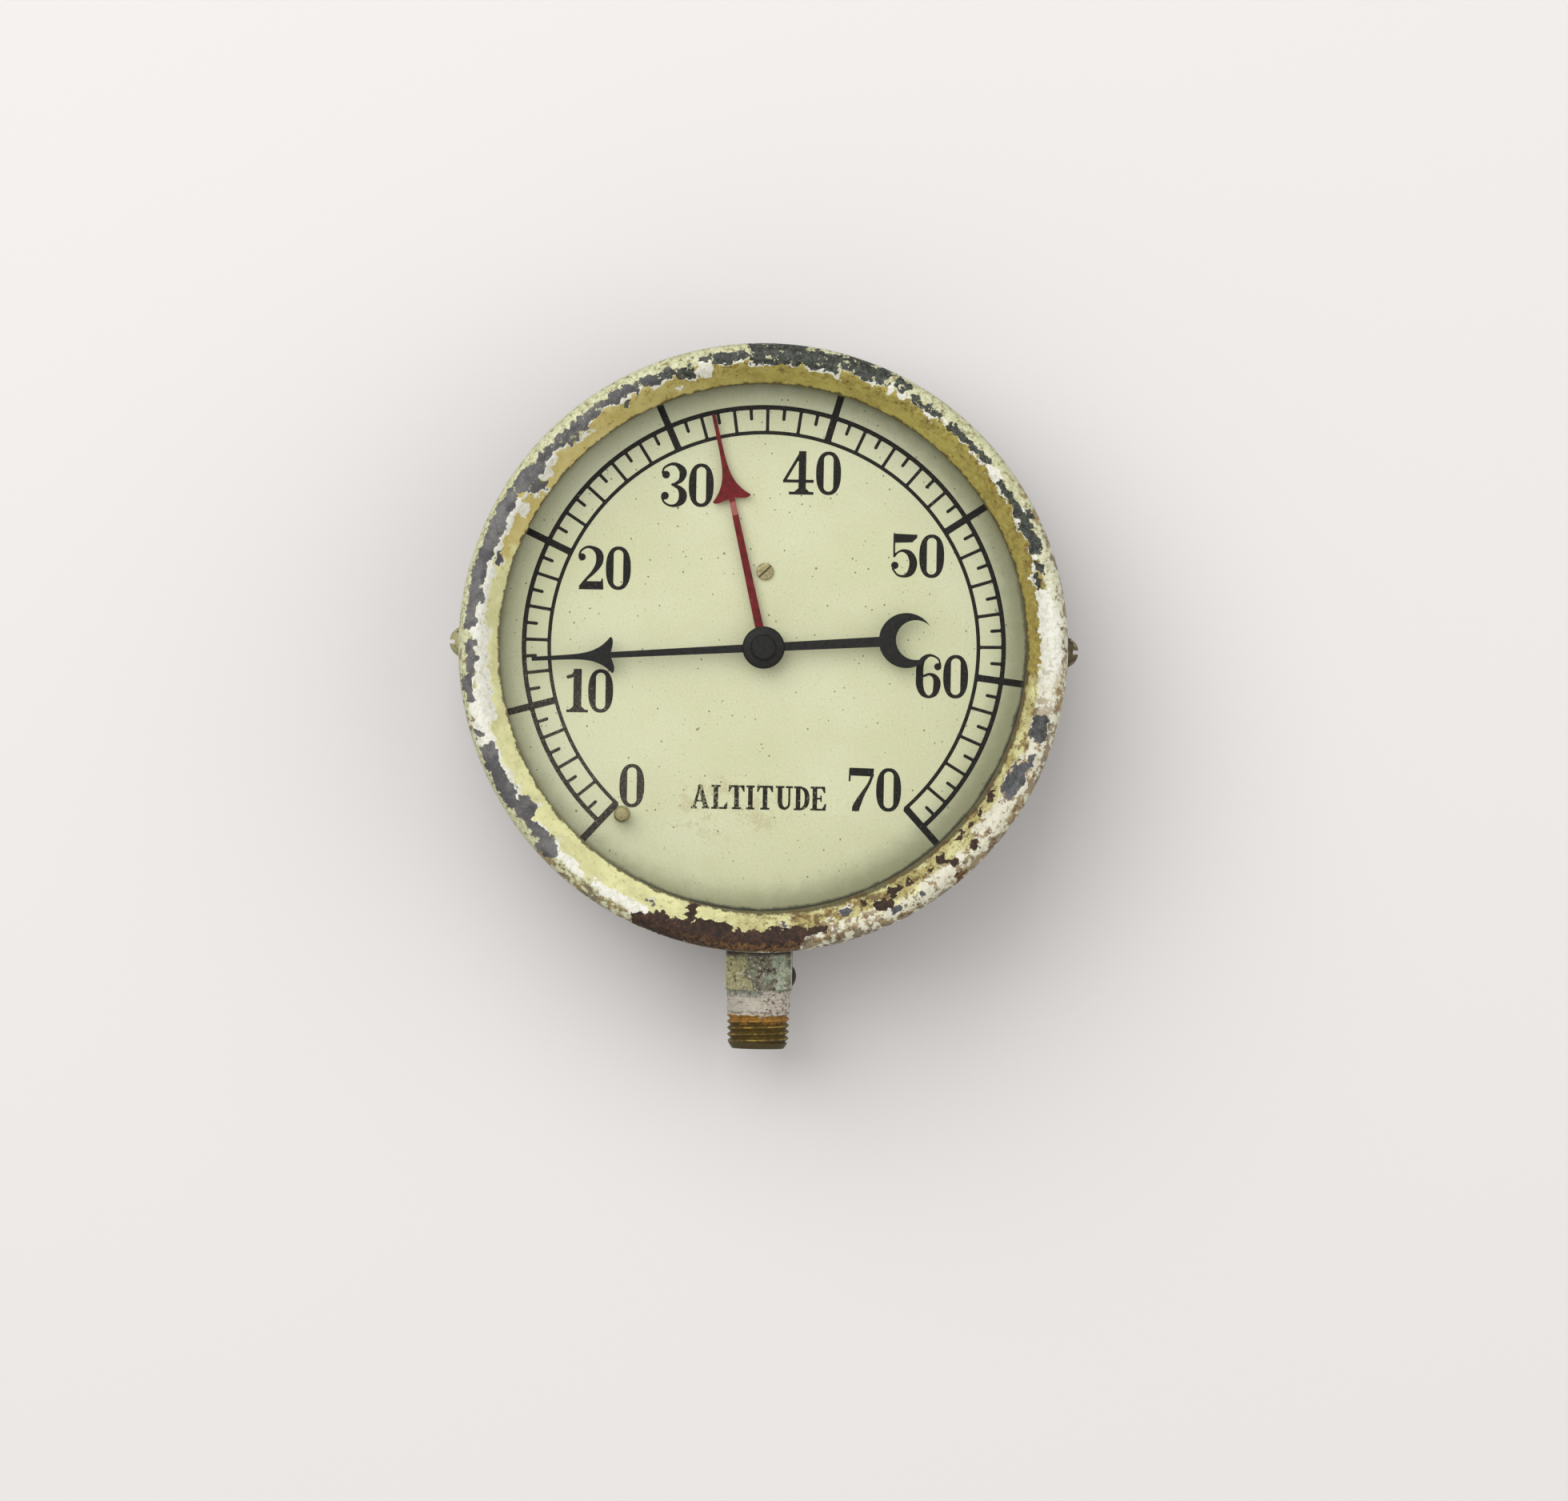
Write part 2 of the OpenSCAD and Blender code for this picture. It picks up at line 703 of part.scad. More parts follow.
module pillars() {
    color("goldenrod") face() for (p = pillar_ps) difference() {
        union() {
            rod(p, block_f, back_plate_f + eps, spigot_r);
            rod(p, back_plate_f, front_plate_b, pillar_r);
        }
        rod(p, front_plate_b - plate_screw_depth, front_plate_b + eps, plate_screw_r);
    }
}

module plate_screws() {
    color("silver") face() for (p = pillar_ps) translate([p[0], p[1], front_plate_f])
        rotate(p[0] * 9)
            screw(plate_screw_head_r, plate_screw_head_h, plate_screw_r, front_plate_t + plate_screw_depth);
}

module dial_post() {
    color("goldenrod") face() difference() {
        union() {
            rod(post_p, front_plate_b, front_plate_f + eps, spigot_r);
            rod(post_p, front_plate_f, dial_b, post_r);
        }
        rod(post_p, dial_b - dial_screw_depth, dial_b + eps, dial_screw_shank_r);
    }
}

module movement_screws() {
    color("silver") face() for (p = movement_screw_ps) translate([p[0], p[1], back_plate_f])
        rotate(p[1] * 7)
            screw(movement_screw_head_r, movement_screw_head_h, movement_screw_r, back_plate_t + screw_depth);
}

module case_screws() {
    color("dimgray") face() for (p = case_screw_ps) translate([p[0], p[1], -case_back])
        rotate([180, 0, p[1] * 5])
            screw(case_screw_head_r, case_screw_head_h, case_screw_r, case_back - block_f + screw_depth);
}

module socket() {
    square_top = centre_h + block_top;
    bore_top = centre_h - tube_r;
    color("darkkhaki") difference() {
        union() {
            intersection() {
                translate([-block_f, -block_f, thread_up]) cube([stem_sq, stem_sq, square_top - thread_up]);
                // Turned chamfer, which cuts the square's lower corners
                translate([0, 0, thread_up])
                    cylinder(h = square_top, r1 = block_f, r2 = block_f + square_top / tan(square_chamfer));
            }
            translate([0, 0, thread_chamfer - thread_down])
                cylinder(h = thread_up + thread_down - thread_chamfer + eps, r = thread_d / 2);
            translate([0, 0, -thread_down])
                cylinder(h = thread_chamfer, r1 = thread_d / 2 - thread_chamfer, r2 = thread_d / 2);
        }
        translate([0, 0, -thread_down - eps]) cylinder(h = bore_top + thread_down, r = bore_d / 2);
        face() swept(tube_root, tube_seat_a) tube_section(tube_w + 2 * run, tube_t + 2 * run);
        face() for (p = movement_screw_ps) rod(p, block_f - screw_depth, block_f + eps, movement_screw_r);
        face() for (p = case_screw_ps) rod(p, -block_f - eps, screw_depth - block_f, case_screw_r);
        translate([block_f - plug_depth, 0, thread_up + plug_h]) rotate([0, 90, 0])
            cylinder(h = plug_depth + eps, r = plug_r);
    }
}

module socket_plug() {
    color("darkkhaki") translate([block_f, 0, thread_up + plug_h]) rotate([0, 90, 0])
        screw(plug_head_r, plug_head_h, plug_r, plug_depth);
}

case();
ring();
ring_screws();
glass();
glass_gasket();
dial();
dial_screw();
stop_pin();
set_hand_bush();
set_hand_washer();
set_hand();
pointer_hand();
pointer_hub();
pinion_arbor();
hairspring();
sector_gear();
sector_arbor();
tail_pin();
link();
tube_tip();
tip_pin();
bourdon_tube();
back_plate();
front_plate();
pillars();
plate_screws();
dial_post();
movement_screws();
case_screws();
socket();
socket_plug();
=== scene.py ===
import math

import bmesh
import bpy
import numpy as np
from mathutils import Matrix, Vector


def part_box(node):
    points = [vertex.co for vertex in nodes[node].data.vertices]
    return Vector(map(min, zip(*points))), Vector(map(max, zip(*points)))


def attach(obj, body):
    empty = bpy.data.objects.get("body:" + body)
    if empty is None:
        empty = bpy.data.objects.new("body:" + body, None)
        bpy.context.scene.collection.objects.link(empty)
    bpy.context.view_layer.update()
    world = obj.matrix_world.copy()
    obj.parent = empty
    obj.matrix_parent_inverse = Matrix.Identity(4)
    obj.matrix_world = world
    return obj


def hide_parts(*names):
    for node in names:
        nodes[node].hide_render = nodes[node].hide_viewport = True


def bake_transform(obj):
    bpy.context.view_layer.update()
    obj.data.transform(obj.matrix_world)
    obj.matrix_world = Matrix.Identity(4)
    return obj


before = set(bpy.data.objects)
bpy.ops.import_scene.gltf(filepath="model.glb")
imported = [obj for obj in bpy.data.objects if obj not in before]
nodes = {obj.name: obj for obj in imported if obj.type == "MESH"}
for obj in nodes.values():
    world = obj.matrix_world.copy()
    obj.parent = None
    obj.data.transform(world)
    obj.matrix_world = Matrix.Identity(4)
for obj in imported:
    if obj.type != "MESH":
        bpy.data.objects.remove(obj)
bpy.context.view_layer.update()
mm = 0.001

# measures of the frame in mm: right and up are seen from the front, forward is towards the viewer
glassLow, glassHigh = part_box("glass")
dialHeight = (glassLow.z + glassHigh.z) / 2 / mm
glassFront = -glassLow.y / mm
dialFront = -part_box("dial")[0].y / mm
caseBack = -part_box("case_screws")[1].y / mm


def tint(code):
    # sRGB hex code to linear colour
    parts = np.array([int(code[i:i + 2], 16) for i in (0, 2, 4)]) / 255
    linear = np.where(parts <= 0.04045, parts / 12.92, ((parts + 0.055) / 1.055) ** 2.4)
    return (*linear.tolist(), 1.0)


class Wire:
    # one socket of a node tree; sums on wires add Math nodes
    def __init__(self, tree, socket):
        self.tree = tree
        self.socket = socket

    def node(self, kind, settings=None, inputs=None, out=0):
        made = self.tree.nodes.new(kind)
        for name, value in (settings or {}).items():
            setattr(made, name, value)
        for key, value in (inputs or {}).items():
            if isinstance(value, Wire):
                self.tree.links.new(value.socket, made.inputs[key])
            else:
                made.inputs[key].default_value = value
        return Wire(self.tree, made.outputs[out])

    def math(self, operation, *values):
        return self.node("ShaderNodeMath", {"operation": operation}, dict(enumerate(values)))

    def __add__(self, other):
        return self.math("ADD", self, other)

    def __radd__(self, other):
        return self.math("ADD", other, self)

    def __sub__(self, other):
        return self.math("SUBTRACT", self, other)

    def __rsub__(self, other):
        return self.math("SUBTRACT", other, self)

    def __mul__(self, other):
        return self.math("MULTIPLY", self, other)

    def __rmul__(self, other):
        return self.math("MULTIPLY", other, self)

    def __abs__(self):
        return self.math("ABSOLUTE", self)

    def atMost(self, other):
        return self.math("MINIMUM", self, other)

    def atLeast(self, other):
        return self.math("MAXIMUM", self, other)

    def between(self, low, high):
        # 0 at low, 1 at high, smooth between; low may be the larger
        limits = {"Value": self, "From Min": low, "From Max": high}
        return self.node("ShaderNodeMapRange", {"interpolation_type": "SMOOTHSTEP"}, limits)

    def betweenRadii(self, low, high):
        # for a wire that holds a squared distance
        return self.between(low ** 2, high ** 2)

    def pick(self, first, second):
        # first colour where this wire is 0, second where it is 1; a colour is a wire or a hex code
        first, second = [tint(colour) if isinstance(colour, str) else colour for colour in (first, second)]
        return self.node("ShaderNodeMix", {"data_type": "RGBA"}, {0: self, 6: first, 7: second}, 2)

    def tones(self, first, second, low=0.4, high=0.6):
        return self.between(low, high).pick(first, second)

    def noise(self, size, detail=3.0, rough=0.55, stretch=None):
        # cloudy noise about 0.5, with lumps of the given size in mm
        place = self
        if stretch:
            place = self.node("ShaderNodeVectorMath", {"operation": "MULTIPLY"}, {0: self, 1: stretch})
        look = {"Vector": place, "Scale": 1 / size, "Detail": detail, "Roughness": rough}
        return place.node("ShaderNodeTexNoise", {}, look)

    def specks(self, size, radius):
        # 1 inside round specks strewn one to a cell of the given size
        cell = {"Vector": self, "Scale": 1 / size}
        gap = self.node("ShaderNodeTexVoronoi", {"feature": "F1"}, cell)
        return gap.between(radius / size, radius / size * 0.6)

    def axis(self, index):
        return self.node("ShaderNodeSeparateXYZ", {}, {0: self}, index)

    def field(self, name):
        return self.node("ShaderNodeAttribute", {"attribute_name": name}, {}, 2)

    def bump(self, height):
        # height in mm
        return self.node("ShaderNodeBump", {}, {"Strength": 1.0, "Distance": mm, "Height": height})


def coat(colour, *layers):
    # layers (mask, colour) laid one after the other over the first colour
    for mask, top in layers:
        colour = mask.pick(colour, top)
    return colour


def makeFinish(name, fixed, paint):
    # fixed goes on the shader's own sockets; paint(place) gives what changes over the surface
    finish = bpy.data.materials.new(name)
    finish.use_nodes = True
    tree = finish.node_tree
    tree.nodes.clear()
    output = tree.nodes.new("ShaderNodeOutputMaterial")
    shader = tree.nodes.new("ShaderNodeBsdfPrincipled")
    tree.links.new(shader.outputs[0], output.inputs[0])
    for socket, value in fixed.items():
        shader.inputs[socket].default_value = value
    metres = Wire(tree, tree.nodes.new("ShaderNodeTexCoord").outputs["Object"])
    place = metres.node("ShaderNodeVectorMath", {"operation": "SCALE"}, {0: metres, "Scale": 1 / mm})
    for socket, wire in paint(place).items():
        tree.links.new(wire.socket, shader.inputs[socket])
    return finish


def dress(finish, *names):
    for name in names:
        for slot in nodes[name].material_slots:
            slot.material = finish


def addObject(name, data):
    made = bpy.data.objects.new(name, data)
    bpy.context.scene.collection.objects.link(made)
    return made


def toFrame(right, up, forward):
    # dial coordinates in mm to frame metres
    right, up, forward = np.broadcast_arrays(right, up, forward)
    return np.stack([right, -forward, up + dialHeight], axis=-1).reshape(-1, 3) * mm


def gridQuads(rows, columns, wrapRows=False, wrapColumns=False):
    # quads of a grid of points stored row by row
    index = np.arange(rows * columns).reshape(rows, columns)
    if wrapRows:
        index = np.vstack([index, index[:1]])
    if wrapColumns:
        index = np.hstack([index, index[:, :1]])
    corners = [index[:-1, :-1], index[1:, :-1], index[1:, 1:], index[:-1, 1:]]
    return np.stack(corners, axis=-1).reshape(-1, 4)


def makePiece(name, points, quads, finish, body="housing"):
    mesh = bpy.data.meshes.new(name)
    mesh.vertices.add(len(points))
    mesh.vertices.foreach_set("co", points.astype(np.float32).ravel())
    mesh.loops.add(quads.size)
    mesh.loops.foreach_set("vertex_index", quads.astype(np.int32).ravel())
    mesh.polygons.add(len(quads))
    mesh.polygons.foreach_set("loop_start", np.arange(0, quads.size, 4, dtype=np.int32))
    mesh.polygons.foreach_set("use_smooth", np.ones(len(quads), dtype=bool))
    mesh.update(calc_edges=True)
    mesh.validate()
    mesh.materials.append(finish)
    piece = addObject(name, mesh)
    if body:
        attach(piece, body)
    print(f"{name}: {len(points)} points, {len(quads)} quads")
    return piece


def addField(piece, name, values):
    store = piece.data.attributes.new(name, "FLOAT", "POINT")
    store.data.foreach_set("value", values.astype(np.float32))


def waves(points, length, seed, count=24):
    # sum of sine waves in random directions, about -1 to 1, with lumps of about the given length
    draw = np.random.default_rng(seed)
    heading = draw.normal(size=(3, count))
    heading *= 2 * math.pi / length * draw.uniform(0.6, 1.6, count) / np.linalg.norm(heading, axis=0)
    phase = draw.uniform(0, 2 * math.pi, count)
    return np.sin(points @ heading + phase).sum(axis=1) / math.sqrt(count)


# camera: the photograph's view, nearly straight on
view = {
    "pixel": 0.17345,          # mm of the ring's plane to one of the photograph's pixels
    "width": 1960,
    "aim": (4.9, -22.12, 30),  # right, up of the dial's centre and forward
    "distance": 3000,
    "above": 1.3,              # degrees
    "beside": 0.5,
    "roll": 1.0,
    "sensor": 36,
}


def placeCamera():
    lens = bpy.data.cameras.new("camera")
    lens.sensor_width = view["sensor"]
    lens.sensor_fit = "HORIZONTAL"
    lens.lens = view["sensor"] * view["distance"] / (view["pixel"] * view["width"])
    lens.clip_end = 100
    camera = addObject("camera", lens)
    above = math.radians(view["above"])
    beside = math.radians(view["beside"])
    away = Vector((math.sin(beside) * math.cos(above), -math.cos(beside) * math.cos(above), math.sin(above)))
    right, up, forward = view["aim"]
    aim = Vector((right, -forward, up + dialHeight)) * mm
    turn = away.to_track_quat("Z", "Y").to_matrix().to_4x4()
    camera.matrix_world = (Matrix.Translation(aim + away * view["distance"] * mm) @ turn
                           @ Matrix.Rotation(math.radians(view["roll"]), 4, "Z"))
    bpy.context.scene.camera = camera


light = {
    "keyAt": (-0.62, -1.4, 0.9),
    "keySize": 1.7,
    "keyPower": 22,
    "fillAt": (1.2, -1.3, 0.3),
    "fillSize": 1.6,
    "fillPower": 6.5,
    "ambient": 0.5,
    "seen": 0.9,               # level of the room to the camera and through the glass
    "mirrored": 0.5,           # level of the room in reflections
    "backdrop": "e9e6e5",
    "sheetReach": 3.0,         # metres to each side
    "sheetGap": 0.4,           # mm behind the case's screws
}


def placeLamp(name, at, size, power):
    lamp = bpy.data.lights.new(name, "AREA")
    lamp.size = size
    lamp.energy = power
    holder = addObject(name, lamp)
    towards = Vector((0, 0, dialHeight * mm)) - Vector(at)
    holder.matrix_world = Matrix.Translation(at) @ towards.to_track_quat("-Z", "Y").to_matrix().to_4x4()


def lightWorld():
    # pale to the camera and through the glass, dimmer in reflections and as light on the object
    world = bpy.data.worlds.new("studio")
    world.use_nodes = True
    bpy.context.scene.world = world
    tree = world.node_tree
    tree.nodes.clear()
    rays = tree.nodes.new("ShaderNodeLightPath").outputs
    seen = (Wire(tree, rays["Is Camera Ray"]) + Wire(tree, rays["Is Transmission Ray"])).atMost(1.0)
    mirrored = Wire(tree, rays["Is Glossy Ray"]) * (light["mirrored"] - light["ambient"])
    level = light["ambient"] + seen * (light["seen"] - light["ambient"]) + mirrored
    glow = seen.node("ShaderNodeBackground", {}, {"Color": tint("fffefc"), "Strength": level})
    output = tree.nodes.new("ShaderNodeOutputWorld")
    tree.links.new(glow.socket, output.inputs[0])


def placeBackdrop():
    # pale sheet that the gauge lies on, clear from behind so that the back can be seen
    side = np.array([-1, 1]) * light["sheetReach"] / mm
    right, up = np.meshgrid(side, side, indexing="ij")
    points = toFrame(right, up, caseBack - light["sheetGap"])
    mesh = bpy.data.meshes.new("backdrop")
    mesh.from_pydata(points.tolist(), [], gridQuads(2, 2).tolist())
    sheet = addObject("backdrop", mesh)
    look = {"Base Color": tint(light["backdrop"]), "Roughness": 0.9}
    finish = makeFinish("backdropPaper", look, lambda place: {})
    tree = finish.node_tree
    back = Wire(tree, tree.nodes.new("ShaderNodeNewGeometry").outputs["Backfacing"])
    clear = back.node("ShaderNodeBsdfTransparent")
    paper = Wire(tree, tree.nodes["Principled BSDF"].outputs[0])
    both = back.node("ShaderNodeMixShader", {}, {0: back, 1: paper, 2: clear})
    tree.links.new(both.socket, tree.nodes["Material Output"].inputs[0])
    mesh.materials.append(finish)
    sheet.visible_shadow = False
    sheet.visible_diffuse = False
    sheet.visible_glossy = False


bpy.context.scene.view_settings.view_transform = "Standard"
placeCamera()
placeLamp("keyLamp", light["keyAt"], light["keySize"], light["keyPower"])
placeLamp("fillLamp", light["fillAt"], light["fillSize"], light["fillPower"])
lightWorld()
placeBackdrop()
print("camera, lamps and backdrop placed")


# ring: pressed sheet, a slope from the lip up to a rolled bead, then a straight skirt
ring = {
    "sheet": 1.2,
    "beadRadius": 3.0,
    "lipRadius": 57.15,
    "lipFront": 28.5,
    "lipRound": 0.3,
    "lipCorner": (0.06, -0.02),
    "turns": 1100,
    "slopeSteps": 22,
    "beadSteps": 26,
    "skirtSteps": 18,
    "insideSteps": 8,
    "chipDepth": 0.13,
    "rustPits": 0.1,
    "sinkEdge": 0.3,           # mm from a patch's edge to its full depth
    "undercoatShift": 0.7,     # mm that the undercoat shows inside a chip's inner edge
    "undercoatInset": 0.35,
    "raggedTurn": ((6, 1, 0.5), (1.8, 2, 0.3)),     # waves of the patches' edges: length, seed, degrees
    "raggedReach": ((4, 3, 0.34), (1.5, 4, 0.22)),  # and length, seed, mm
    "rimWaves": (5, 6, 0.5),
    "pitWaves": (1.1, 5),
    "patchCorner": 0.7,        # rounded share of a patch's smaller half width
    "arc": 62,                 # mm, radius at which degrees become lengths
    "patchTurn": 1.0,          # degrees from the frame's top to the top of the patch lists
    "ochreFrom": -60,
    "ochreTo": 86,
    "ochreSoft": 22,
    "grimeFrom": 108,
    "grimeTo": 172,
    "grimeSoft": 20,
}
ringFields = ("chip", "white", "rust", "stain", "ochre", "grime", "reach")

# worn patches of the ring: from and to in degrees clockwise from the top, inner and outer radius in mm;
# past the outer radius a patch runs on down the skirt
chipPatches = [
    (-3, 8.5, 61.4, 66.6), (8, 16, 61.6, 65.4), (15, 25.3, 62.3, 66.2), (26, 29.4, 62.7, 65.8),
    (31, 38, 62.1, 63.7), (34, 36, 63.5, 64.6), (40, 51, 62.3, 63.9), (54, 62, 61.9, 63.2),
    (61, 71, 61.5, 64), (61.5, 64, 64, 65.5), (72.3, 75, 61.6, 63), (74.5, 77.5, 60.6, 61.9),
    (103.5, 109, 60.7, 64.3), (111.2, 114.5, 62.6, 63.7), (113.5, 121, 60.2, 63.4),
    (117, 120.5, 59.4, 61), (147, 148.3, 63, 64), (151.5, 154, 62.6, 64.3), (162, 164, 59.2, 60.8),
    (174.3, 175.8, 59.2, 60.5), (203, 204.3, 60, 60.6), (225.5, 230, 61.5, 65.5),
    (229, 233.5, 61.9, 64), (233, 238, 59.8, 64.6), (237, 251, 61.9, 65.3), (252.7, 254.5, 63.1, 64.9),
    (259, 266, 63.4, 65.6), (265, 272, 62.2, 64.2), (274, 283, 62.6, 64.8), (279.5, 281.5, 61.1, 63),
    (282, 303, 61.9, 65), (288, 290.3, 59.5, 61.4), (303, 309, 61.2, 64.7), (304, 307, 58.6, 61.5),
    (308.5, 324, 61.5, 63.8), (316, 321, 60.6, 62), (324, 343.5, 62.1, 64), (343, 346.2, 60.6, 63.3),
    (347, 350, 63.5, 64.9), (350, 356.5, 62.3, 64.6), (330.5, 332, 60.1, 60.9),
]
whitePatches = [
    (25, 26.2, 62, 63.8), (29.3, 31.2, 62.6, 63.4), (38, 40, 62.3, 63.6), (51, 54.2, 61.8, 63.8),
    (71, 72.5, 61.7, 63.2), (77.5, 104, 60.2, 63.4), (82, 95, 63.4, 65), (100, 122, 60.5, 64.5),
    (121, 132, 60, 63.5), (135, 147, 61, 64.5), (150, 156, 62.5, 64), (157, 167, 61.4, 62.6),
    (165.8, 168.5, 60, 61.4), (174, 177, 59.5, 61.2), (204, 216, 61.4, 63.8), (219, 226, 61.7, 63.5),
    (238, 250, 61, 62.2), (239, 243, 63.9, 64.9), (250, 262, 61.4, 65), (255, 275, 59.4, 62.2),
    (271, 288, 60.3, 63.2), (288, 303, 60.6, 62), (298.5, 301, 59, 61), (303, 306, 58.6, 60),
    (307, 311, 59.5, 61.5), (310, 316, 60.8, 62), (341, 343, 58.9, 59.5), (346.5, 350, 60.3, 62.8),
]
rustPatches = [
    (121.5, 124.5, 58.6, 59.4), (126, 128.2, 58.5, 59.5), (130, 131.5, 58.7, 59.3),
    (133, 134.7, 58.5, 59.4), (132, 134, 61.8, 63.3), (137, 139, 60.8, 63), (138.5, 141.3, 58.9, 61.2),
    (138.5, 141, 64.7, 65.8), (142.5, 143.5, 59.8, 60.5), (147.5, 149.2, 59.2, 60.3),
    (150, 153, 59, 60.4), (152.7, 157, 60.3, 62.6), (158.2, 159.5, 59, 60.2), (171.5, 181, 60.9, 66),
    (167.5, 172, 61.2, 63), (180, 187, 61.2, 66.6), (186, 195, 60.1, 66.6), (194, 204, 61.3, 66.6),
    (194.6, 196.6, 57.3, 61.5), (203, 206.5, 63, 66.2),
]
stainPatches = [
    (84, 108, 64.6, 66), (108, 137, 64.2, 68), (137, 166, 65.2, 68), (153, 177, 58.2, 61.6),
    (166, 182, 64, 68), (206, 228, 64, 68), (184, 206, 65, 72), (252, 258, 64, 66),
    (157, 172, 62.8, 67), (54, 86, 65, 67.5),
]


def ringProfile():
    # closed section as radius and forward, from the lip over the slope, bead and skirt and back inside
    low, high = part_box("ring")
    outer = high.x / mm
    back = -high.y / mm
    bead = ring["beadRadius"]
    centre = np.array([outer - bead, -low.y / mm - bead])
    lip = np.array([ring["lipRadius"], ring["lipFront"]])
    reach = centre - lip
    tilt = math.atan2(reach[1], reach[0]) + math.asin(bead / np.hypot(*reach))  # slope is tangent to the bead
    along = np.array([math.cos(tilt), math.sin(tilt)])
    turn = np.linspace(tilt + math.pi / 2, 0, ring["beadSteps"])
    ray = np.stack([np.cos(turn), np.sin(turn)], axis=-1)
    rolled = centre + bead * ray
    seat = np.array([lip[0], glassFront])
    edge = np.array([seat, lip - [0, ring["lipRound"]], lip + ring["lipCorner"]])
    start = lip + ring["lipRound"] * along
    slope = start + (rolled[0] - start) * np.linspace(0, 1, ring["slopeSteps"], endpoint=False)[:, None]
    depth = np.linspace(centre[1], back, ring["skirtSteps"] + 1)[1:]
    skirt = np.stack([np.full(depth.size, outer), depth], axis=-1)
    inner = outer - ring["sheet"]
    innerDepth = np.linspace(back, centre[1], ring["insideSteps"])[:-1]
    innerSkirt = np.stack([np.full(innerDepth.size, inner), innerDepth], axis=-1)
    innerBead = centre + (bead - ring["sheet"]) * ray[::-3]
    fall = (innerBead[-1, 1] - glassFront) / along[1]
    innerSlope = innerBead[-1] - along * np.array([[fall / 2], [fall]])
    front = np.vstack([edge, slope, rolled, skirt])
    return np.vstack([front, innerSkirt, innerBead, innerSlope]), len(front), centre[1]


def patchField(angle, reach, patches):
    # distance to the edge of the nearest rounded patch in mm, positive inside
    field = np.full(angle.shape, -9.0)
    perDegree = math.radians(1) * ring["arc"]
    for start, end, inner, outer in patches:
        halfAlong = (end - start) / 2 * perDegree
        halfAcross = (outer - inner) / 2
        corner = ring["patchCorner"] * min(halfAlong, halfAcross)
        turned = (angle - (start + end) / 2 + 180) % 360 - 180
        along = np.abs(turned) * perDegree - halfAlong + corner
        across = np.abs(reach - (inner + outer) / 2) - halfAcross + corner
        outside = np.hypot(along.clip(0), across.clip(0))
        field = np.maximum(field, corner - outside - np.minimum(np.maximum(along, across), 0))
    return field


ringWearAndLight = {                   # limits from none to full, in mm
    "leftSide": (4, -46),      # right of the axis
    "rightSide": (34, 58),
    "tanSide": (-24, 0),
    "topFlecks": (34, 54),     # up of the axis
    "darkSide": (8, 46),       # up and to the right
    # painted bounce light, paler towards the lower right
    "paintedBounceLight": (8, 48),       # down and to the right
    # painted shade of the gap at the lip, widened by dirt where the ring is grimy
    "lipShadeAndDirt": (57.75, 57.4),  # along the section, as the patches' radii
    "smear": (58.6, 61),
    "wash": (62.6, 61.2),
    "outerPaint": (62.2, 62.9),
    "outerSpots": (63.5, 64.5),
    "tanReach": (63.6, 64.6),
    "skirt": (67, 69.5),
    "blotches": (69, 67),
    "rearEdge": (85.2, 85.6),
}


